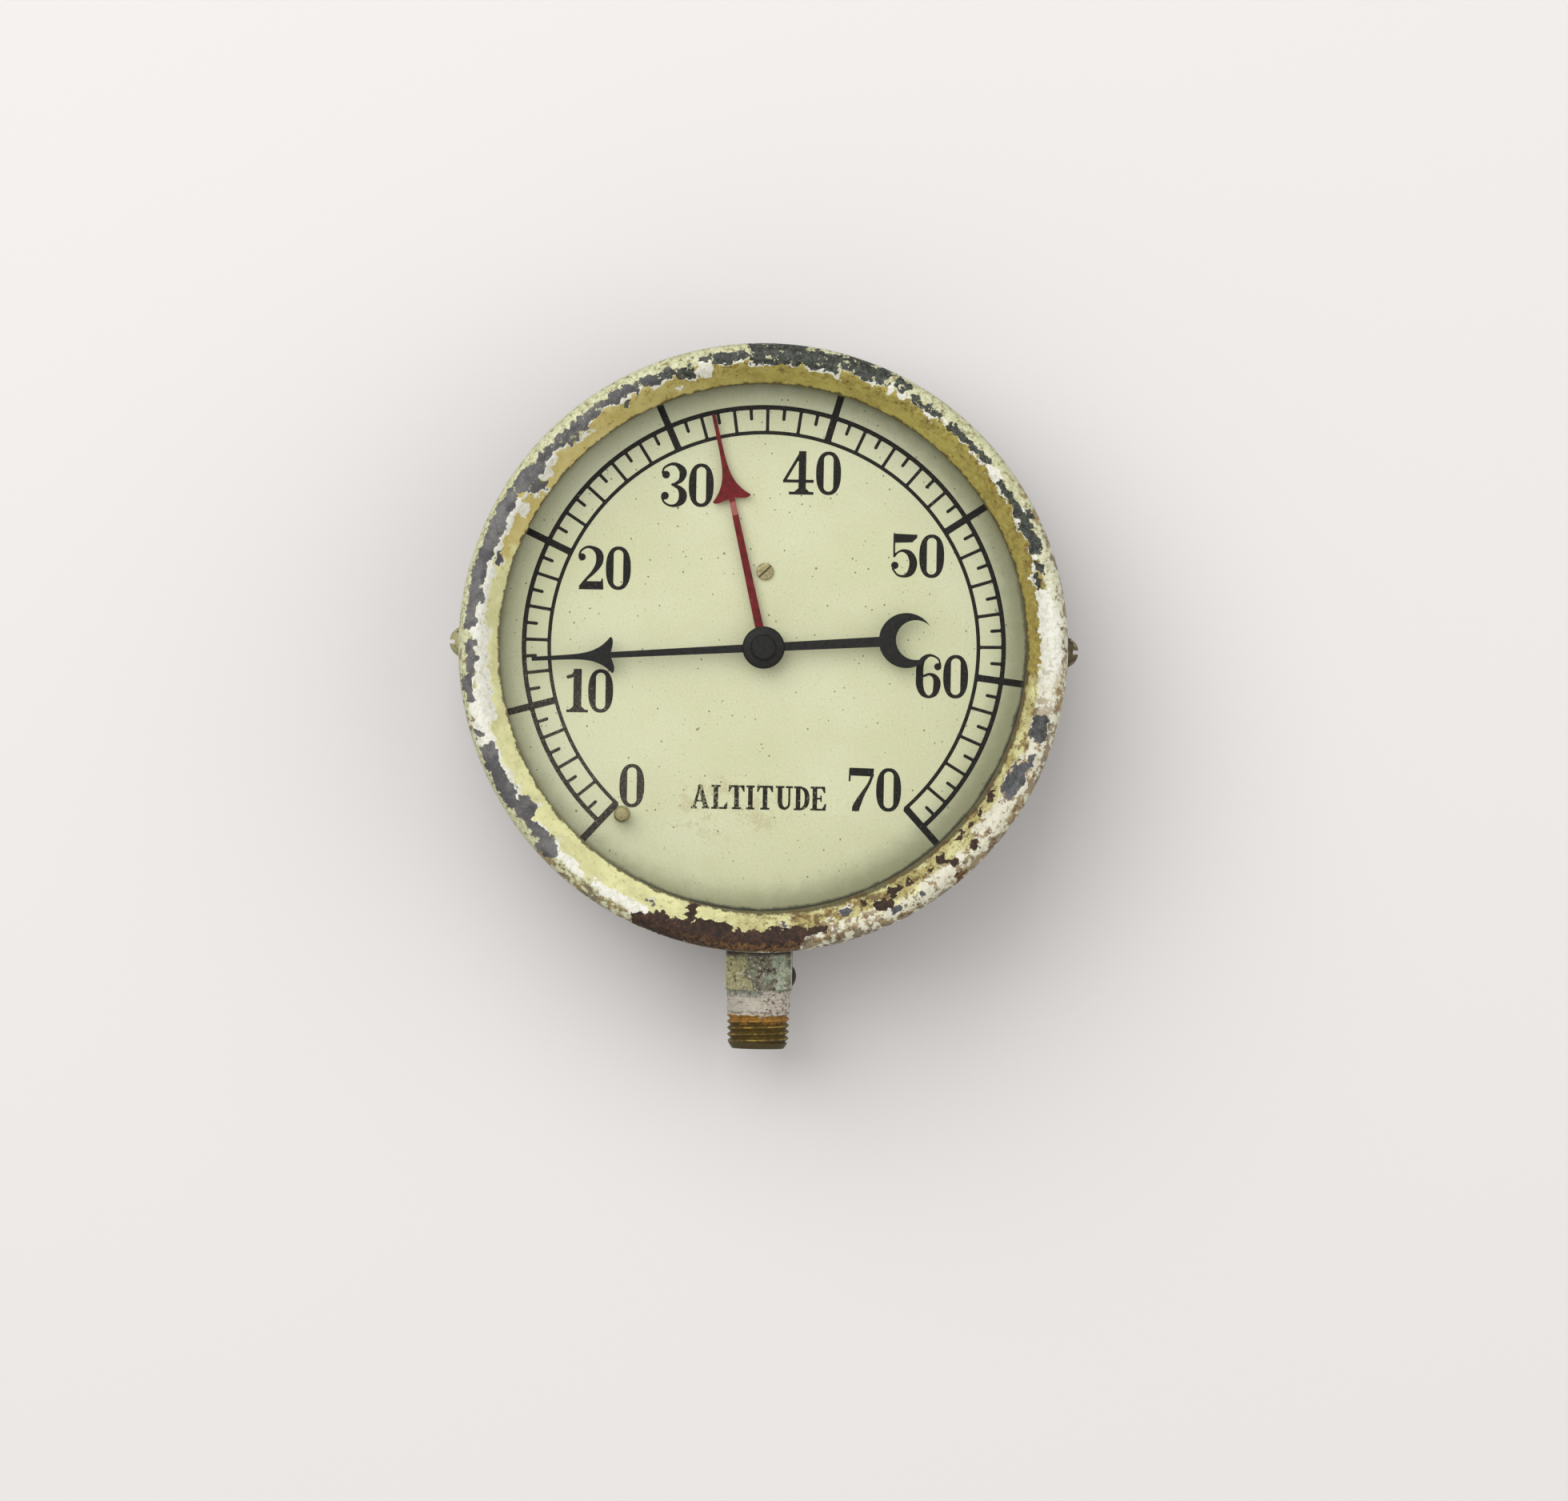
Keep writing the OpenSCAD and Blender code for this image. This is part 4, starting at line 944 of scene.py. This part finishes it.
def dialPaint(place):
    # pale yellow-green enamel: grain, fine dark specks, some brown ones, stains by the word, and a darker
    # edge that is painted shade of the ring
    x = place.axis(0)
    z = place.axis(2) - dialHeight
    grain = place.noise(0.5, 4, 0.75)
    dust = place.specks(1.9, 0.24) * place.noise(4, 3, 0.6).between(0.47, 0.53)
    fine = place.specks(1.1, 0.14) * place.noise(2.3, 3, 0.6).between(0.5, 0.56)
    fleck = place.specks(6.1, 0.36) * place.noise(9, 2).between(0.5, 0.55)
    right = x + dialStainsAndShade["stainLeft"]
    low = z - word["at"][1] + dialStainsAndShade["stainDrop"]
    near = (right * right * 0.003 + low * low * 0.012).between(1.0, 0.1)
    # painted shade of the ring: darker round the dial's edge, most to the right and below
    rim = x * x + z * z + x * 6 - z * 3 + (place.noise(3, 4, 0.7) - 0.5) * 500
    colour = coat(place.noise(22, 3).tones("dadcb0", "e1e3bd", 0.3, 0.7),
                  (grain.between(0.5, 0.7) * 0.45, "bfc192"),
                  (grain.between(0.46, 0.34) * 0.5, "edeed0"),
                  (dust * 0.85, "504e37"),
                  (fine * 0.7, "77755a"),
                  (fleck * 0.8, "7b5f38"),
                  (near * place.noise(4, 6, 0.75).between(0.46, 0.64) * 0.4, "b0965a"),
                  (rim.betweenRadii(*dialStainsAndShade["edge"]) * 0.62, "7d7d54"))
    return {"Base Color": colour, "Roughness": 0.38 + grain * 0.15, "Normal": place.bump(grain * 0.006)}


def mottled(first, second, cloud, dull, relief=None, spots=None, span=(0.35, 0.65)):
    # paint of two colours in clouds (size, detail, rough): dull is the roughness and the clouds' share of it,
    # relief the noise and height of the bump, spots their noise, limits, weight and colour
    def paint(place):
        clouds = place.noise(*cloud)
        made = {"Base Color": clouds.tones(first, second, *span), "Roughness": dull[0] + clouds * dull[1]}
        if spots:
            noise, limits, weight, top = spots
            made["Base Color"] = (place.noise(*noise).between(*limits) * weight).pick(made["Base Color"], top)
        if relief:
            made["Normal"] = place.bump(place.noise(*relief[0]) * relief[1])
        return made
    return paint


setHand = {"angle": 166.9, "wornRadius": 30.9, "wornLength": 2.1}


def handRed(place):
    # red lacquer, rubbed pale in a patch just below the barbs
    turn = math.radians(setHand["angle"])
    right = place.axis(0) + setHand["wornRadius"] * math.sin(turn)
    up = place.axis(2) - dialHeight + setHand["wornRadius"] * math.cos(turn)
    near = (right * right + up * up).between(setHand["wornLength"] ** 2, 0.5)
    grain = place.noise(0.5, 4)
    white = (grain + near * 0.06).between(0.75, 0.78) + near * place.specks(0.9, 0.16)
    colour = coat(place.noise(1.6, 4).tones("7a1519", "5c0f13", 0.35, 0.68),
                  ((near * 0.45 + grain).between(0.66, 0.8) * 0.6, "c07a72"),
                  (white, "efe6dc"))
    return {"Base Color": colour, "Roughness": 0.4 + grain * 0.2, "Normal": place.bump(grain * 0.012)}


def dullBrass(place):
    # heads seen on the dial: tarnished, with painted shade in the slot and round the foot, the stop pin's
    # slightly domed
    grain = place.noise(0.5, 4, 0.7)
    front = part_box("dial_screw")[0].y / mm
    colour = coat(grain.tones("b3a97c", "948a60", 0.38, 0.62),
                  (place.noise(1.4, 3).between(0.56, 0.66) * 0.6, "d8cd97"),
                  # painted shade: darker deeper than the screw head's face
                  (place.axis(1).between(front + 0.12, front + 0.3) * 0.75, "4a4228"))
    pin = sum(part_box("stop_pin"), Vector()) / 2 / mm
    right = place.axis(0) - pin.x
    up = place.axis(2) - pin.z
    dome = (right * right + up * up).atMost(4) * -0.16
    return {"Base Color": colour, "Roughness": 0.45 + grain * 0.2, "Normal": place.bump(grain * 0.02 + dome)}


caseWear = {
    "bendRadius": (56, 60.5),  # round edge of the back
    "bendDepth": (8, 13),
    "spillRadius": (62.5, 63.5),
    "spillDepth": (-5, -9),
}


def japannedIron(place):
    # sand-cast iron dipped black: dusty, rusted in patches and round the back, ring paint spilt on it
    x = place.axis(0)
    y = place.axis(1)
    z = place.axis(2) - dialHeight
    sand = place.noise(1.3, 6, 0.7)
    far = x * x + z * z
    bend = far.betweenRadii(*caseWear["bendRadius"]) * y.between(*caseWear["bendDepth"])
    rust = (place.noise(6, 8, 0.72) + bend * 0.09).between(0.585, 0.625)
    chalk = place.noise(9, 7, 0.75).between(0.57, 0.66) * (1 - rust)
    spill = far.betweenRadii(*caseWear["spillRadius"]) * y.between(*caseWear["spillDepth"])
    spill = spill * place.noise(4, 5, 0.7).between(0.44, 0.5)
    colour = coat(place.noise(14, 6, 0.65).tones("2b2927", "3b3834"),
                  (sand.between(0.56, 0.66) * 0.6, "56504a"),
                  (rust, sand.tones("4c2f1f", "744726", 0.42, 0.6)),
                  (chalk * 0.4, "7a746a"),
                  (spill, "cfcd9c"))
    return {"Base Color": colour, "Roughness": 0.46 + rust * 0.35 + chalk * 0.2,
            "Normal": place.bump(sand * 0.3 + rust * 0.06 + spill * 0.08)}


glassWear = {"dirtyEdge": (56.3, 57.2), "dirtySide": (8, 44)}


def clearGlass(place):
    # old window glass with a trace of film and a line of dirt along the lip, most at the lower right
    film = place.noise(14, 4, 0.6)
    x = place.axis(0)
    z = place.axis(2) - dialHeight
    side = (x * 0.56 - z * 0.83).between(*glassWear["dirtySide"])
    rim = x * x + z * z + (place.noise(4, 6, 0.75) - 0.5) * 240
    dirt = rim.betweenRadii(*glassWear["dirtyEdge"]) * (0.1 + side * 0.8)
    return {"Alpha": 0.015 + film * 0.03 + dirt, "Roughness": 0.03 + film * 0.04 + dirt * 0.5}


def screwPaint(place):
    # steel screws once painted with the ring, the right one now mostly brown
    grain = place.noise(0.7, 4, 0.7)
    paint = (place.noise(1.4, 5, 0.7) + place.axis(0).between(10, -10) * 0.14).between(0.52, 0.58)
    colour = paint.pick(place.noise(1.8, 4).tones("6a5a3a", "46392a"), "a8a478")
    return {"Base Color": colour, "Roughness": 0.5 + grain * 0.25,
            "Normal": place.bump(grain * 0.06 + paint * 0.04)}


handBlack = mottled("151514", "242322", (0.6, 4), (0.4, 0.2), ((0.6, 4), 0.012),
                    ((1.7, 5, 0.7), (0.66, 0.72), 0.35, "6a675c"))
agedBrass = mottled("b39a58", "8d7a42", (4, 4, 0.6), (0.34, 0.22), ((0.35, 3), 0.008),
                    ((1.2, 4, 0.7), (0.64, 0.72), 0.6, "5e5230"))
springBronze = mottled("a98550", "8a6a3c", (0.8, 4), (0.3, 0.2))
plainSteel = mottled("9a9894", "75726d", (2.5, 4, 0.6), (0.32, 0.2), ((0.3, 3), 0.006))
gasketFibre = mottled("5d5448", "3f3830", (0.7, 5, 0.7), (0.8, 0.15), ((0.7, 5, 0.7), 0.05), span=(0.3, 0.7))
plugIron = mottled("2a2723", "4a4032", (0.8, 5, 0.7), (0.55, 0.25), ((0.8, 5, 0.7), 0.07))
handLook = {"Specular IOR Level": 0.25}
glassLook = {"Base Color": tint("3a3a2b"), "IOR": 1.5, "Specular IOR Level": 0.35}
finishes = [                   # name, fixed sockets, paint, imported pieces
    ("agedBrass", {"Metallic": 0.85}, agedBrass,
     "set_hand_bush sector_gear link tube_tip back_plate front_plate pillars dial_post"),
    ("plainSteel", {"Metallic": 0.9}, plainSteel,
     "pinion_arbor sector_arbor tail_pin tip_pin plate_screws movement_screws case_screws"),
    ("dialPaint", {}, dialPaint, "dial"),
    ("handBlack", handLook, handBlack, "pointer_hand pointer_hub"),
    ("handRed", handLook, handRed, "set_hand"),
    ("japannedIron", {}, japannedIron, "case"),
    ("gasketFibre", {}, gasketFibre, "glass_gasket"),
    ("clearGlass", glassLook, clearGlass, "glass"),
    ("screwPaint", {"Metallic": 0.2}, screwPaint, "ring_screws"),
    ("plugIron", {"Metallic": 0.4}, plugIron, "socket_plug"),
    ("springBronze", {"Metallic": 0.9}, springBronze, "hairspring set_hand_washer"),
    ("dullBrass", {"Metallic": 0.25}, dullBrass, "dial_screw stop_pin"),
]
for name, look, paint, pieces in finishes:
    dress(makeFinish(name, look, paint), *pieces.split())
print("finishes dressed")


# Bourdon tube: the imported one again as a fine mesh, curved from its root to its tip
tube = {
    "radius": 42,
    "width": 12,
    "thick": 4.5,
    "wall": 0.5,
    "root": 4,                 # degrees clockwise from straight down
    "tip": 299,
    "steps": 150,
    "around": 40,
    "bendFrom": (-5, -40),     # right and up of the dial's centre
    "bendTo": (37, -20),
}


def tubeSection(inset):
    # slot outline: two half circles of the tube's thickness joined by flats, as (outward, along the axis)
    turn = np.linspace(0, 2 * math.pi, tube["around"], endpoint=False)
    end = tube["thick"] / 2 - inset
    shift = np.where(turn < math.pi, 1, -1) * (tube["width"] - tube["thick"]) / 2
    return end * np.cos(turn), end * np.sin(turn) + shift


def makeTube():
    # right = -(r + outward) sin a, up = -(r + outward) cos a; outside first, then back along the inside
    low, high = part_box("bourdon_tube")
    middle = -(low.y + high.y) / 2 / mm
    angle = np.radians(np.linspace(tube["root"], tube["tip"], tube["steps"]))
    skins = []
    for turns, inset in ((angle, 0), (angle[::-1], tube["wall"])):
        outward, along = tubeSection(inset)
        radius = tube["radius"] + outward[None]
        turns = turns[:, None]
        skins.append(toFrame(-radius * np.sin(turns), -radius * np.cos(turns), middle + along[None]))
    quads = gridQuads(2 * tube["steps"], tube["around"], True, True)
    finish = makeFinish("tubeBronze", {"Metallic": 0.9}, springBronze)
    piece = makePiece("bent_tube", np.vstack(skins), quads, finish, None)
    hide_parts("bourdon_tube")
    start = toFrame(*tube["bendFrom"], middle)[0]
    end = toFrame(*tube["bendTo"], middle)[0]
    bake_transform(piece)


makeTube()


# stem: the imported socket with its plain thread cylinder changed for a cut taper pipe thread
thread = {
    "pitch": 25.4 / 18,
    "radius": 6.858,
    "gaugeHeight": 1.0,        # mm, where the crest has that radius
    "taper": 1 / 32,
    "depth": 0.7,
    "paintedDepth": 0.12,      # what the paint leaves of the groove
    "flank": (1.25, 0.1),      # steeper than a plain zigzag, with flat crests and roots
    "top": 7.0,                # lower face of the square
    "squareHalf": 7.3,
    "paintLow": 1.55,          # painted above this
    "paintFade": 0.3,
    "plainEnd": 0.6,           # mm without a groove, then mm to its full depth
    "runIn": 0.8,
    "leadIn": 2.0,             # mm of rounded end
    "endRadius": 5.66,
    "endCurve": 1.5,
    "around": 220,
    "rows": 190,
}


stemWearAndLight = {                   # limits from none to full, in mm
    "greenFrom": (2.4, 2.9),   # to the right, round the square
    "greenTo": (6.6, 6.0),
    "oliveTo": (-2.9, -3.3),
    "spillSide": (2.6, 1.6),
    "pitsFrom": (0.5, 3),
    # painted highlight on the square's corners, with paint worn there
    "corner": (14.2, 14.45),   # sum of both distances from the stem's axis
    "shadeUnderCase": (14.2, 15.4),  # up
    "spillLow": (5.6, 6.4),
    # height of the painted shadow of a groove
    "grooveHeight": 2.15,
    "bareFrom": (0.1, -0.4),
    "darkEnd": (-3.4, -4.8),
}


def stemPaint(place):
    # brass under blotches of paint and patina on the square, white paint on the upper thread, bare below;
    # x runs on round the square from its front face
    front, y, z = [place.axis(index) for index in range(3)]
    x = front + (y + thread["squareHalf"]) * 0.9
    ragged = place.noise(2.6, 5, 0.6) - 0.5
    blot = place.noise(1.6, 4, 0.6) - 0.5
    grain = place.noise(0.45, 4, 0.75)
    fine = place.noise(0.9, 5, 0.75)
    spot = place.noise(0.8, 3, 0.6)
    green = coat(fine.tones("9aa792", "c3c8b3"), (blot.between(0.06, 0.12) * 0.8, "67705c"))
    olive = coat(fine.tones("9f9a70", "bfb98c"), (blot.between(0.08, 0.14) * 0.8, "6f6a52"))
    # paler along the square's corners: worn paint and a painted highlight
    corner = (abs(front) + abs(y) + blot * 0.6).between(*stemWearAndLight["corner"])
    isGreen = (x + ragged * 12).between(*stemWearAndLight["greenFrom"]) * (x + blot * 9).between(*stemWearAndLight["greenTo"])
    square = coat(fine.tones("6b655c", "908974"),
                  ((ragged * 2 + blot).between(0.06, 0.2), "8d947c"),
                  ((ragged + blot).between(-0.1, -0.2), "4d443f"),
                  (isGreen, green),
                  ((x + ragged * 14 + blot * 6).between(*stemWearAndLight["oliveTo"]), olive),
                  (spot.between(0.6, 0.63) * 0.85, "ded9c4"),
                  (spot.between(0.4, 0.37) * 0.85, "37302b"),
                  (grain.between(0.62, 0.66) * 0.9, "e4dfcc"),
                  (grain.between(0.38, 0.34) * 0.8, "352b27"),
                  ((z + ragged * 2).between(*stemWearAndLight["shadeUnderCase"]), "453c38"),
                  (corner * 0.5, "d5d2c0"))
    scored = place.noise(1.1, 4, 0.7, (0.35, 0.35, 2.6)).between(0.54, 0.6)
    # painted shadow of a groove round the white-painted thread
    paintedGrooveShadow = abs(z + blot * 0.9 - stemWearAndLight["grooveHeight"]).between(0.3, 0.12)
    paintedGrooveShadow = paintedGrooveShadow * place.noise(1.7, 3).between(0.4, 0.5)
    spill = (z + blot * 5).between(*stemWearAndLight["spillLow"]) * (x + ragged * 12).between(*stemWearAndLight["spillSide"])
    pits = (x + ragged * 8).between(*stemWearAndLight["pitsFrom"]) * spot.between(0.55, 0.59)
    white = coat(fine.tones("d8cfc2", "bfb9a8", 0.38, 0.62),
                 (grain.between(0.56, 0.66) * 0.8, "ebe6de"),
                 (scored * 0.7, "82776a"),
                 (paintedGrooveShadow * 0.75, "665c50"),
                 (spill * 0.8, fine.tones("8d9a8c", "5c574c", 0.45, 0.55)),
                 (pits * 0.85, "74493f"))
    orange = coat(fine.tones("b5853a", "8a6126", 0.42, 0.6), (blot.between(0.06, 0.14) * 0.7, "5a4a22"))
    crest = place.field("crest")
    # painted highlight on the crests and painted shade in the roots of the bare thread
    glint = crest.between(0.75, 1.0) * place.noise(2.2, 3).between(0.5, 0.6)
    bare = coat(fine.tones("7c6733", "5f4e27", 0.38, 0.62),
                (glint * 0.7, "cfae58"),
                (crest.between(0.4, 0.0) * 0.4, "33291a"),
                ((z + ragged * 2).between(*stemWearAndLight["darkEnd"]) * 0.8, "4e452a"))
    level = z + ragged * 3
    lower = level.between(*stemWearAndLight["bareFrom"])
    painted = (level + blot * 1.5).between(thread["paintLow"] - 0.1, thread["paintLow"] + 0.1)
    onSquare = (z + blot * 0.5).between(thread["top"] - 0.1, thread["top"])
    colour = coat(orange, (lower, bare), (painted, white), (onSquare, square))
    metal = lower * (1 - painted) * 0.45
    return {"Base Color": colour, "Roughness": 0.5 - metal * 0.2 + grain * 0.15, "Metallic": metal,
            "Normal": place.bump(grain * 0.09 + blot * 0.12)}


def threadGrid():
    # radius = tapered crest - depth * (distance from the crest line along the helix), round towards the end
    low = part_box("socket")[0].z / mm
    z = np.linspace(thread["top"], low, thread["rows"])
    turn = np.linspace(0, 2 * math.pi, thread["around"], endpoint=False)
    turn, z = np.meshgrid(turn, z, indexing="ij")
    phase = (z / thread["pitch"] - turn / (2 * math.pi)) % 1
    ridge = 1 - np.abs(2 * phase - 1)                       # 1 on the crest, 0 in the root
    steep, root = thread["flank"]
    ridge = np.clip(ridge * steep - root, 0, 1)
    fade = thread["paintFade"]
    bare = np.clip((thread["paintLow"] + fade - z) / (2 * fade), 0, 1)
    run = np.clip((z - low - thread["plainEnd"]) / thread["runIn"], 0, 1)
    depth = (thread["paintedDepth"] + (thread["depth"] - thread["paintedDepth"]) * bare) * run
    crest = thread["radius"] + (z - thread["gaugeHeight"]) * thread["taper"]
    radius = crest - depth * (1 - ridge)
    fall = np.clip((z - low) / thread["leadIn"], 0, 1)
    limit = thread["endRadius"] + (crest - thread["endRadius"]) * (1 - (1 - fall) ** thread["endCurve"])
    radius = np.minimum(radius, limit)
    points = np.stack([radius * np.cos(turn), radius * np.sin(turn), z], axis=-1).reshape(-1, 3) * mm
    return points, gridQuads(*z.shape, wrapRows=True)[:, ::-1], (ridge * run).ravel()


def makeStem():
    points, quads, crest = threadGrid()
    finish = makeFinish("stemPaint", {"IOR": 1.45}, stemPaint)
    piece = makePiece("threaded_socket", points, quads, finish)
    addField(piece, "crest", crest)
    form = bmesh.new()
    form.from_mesh(nodes["socket"].data)
    slack = 1e-6               # metres
    bmesh.ops.remove_doubles(form, verts=form.verts, dist=slack)
    floor = thread["top"] * mm + slack

    def onThread(vert):
        return vert.co.z < floor and vert.co.xy.length > (thread["endRadius"] - 0.02) * mm

    old = [face for face in form.faces if all(onThread(vert) for vert in face.verts)
           and not all(vert.co.z > floor - 2 * slack for vert in face.verts)]
    bmesh.ops.delete(form, geom=old, context="FACES")
    for face in form.faces:
        face.smooth = False
        face.material_index = 0
    copied = bpy.data.meshes.new("socketCopy")
    form.to_mesh(copied)
    form.free()
    copied.materials.clear()
    body = bmesh.new()
    body.from_mesh(piece.data)
    body.from_mesh(copied)
    body.to_mesh(piece.data)
    body.free()
    bpy.data.meshes.remove(copied)
    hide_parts("socket")
    print(f"socket joined to its thread: {len(piece.data.polygons)} faces, {len(old)} taken off")


makeStem()
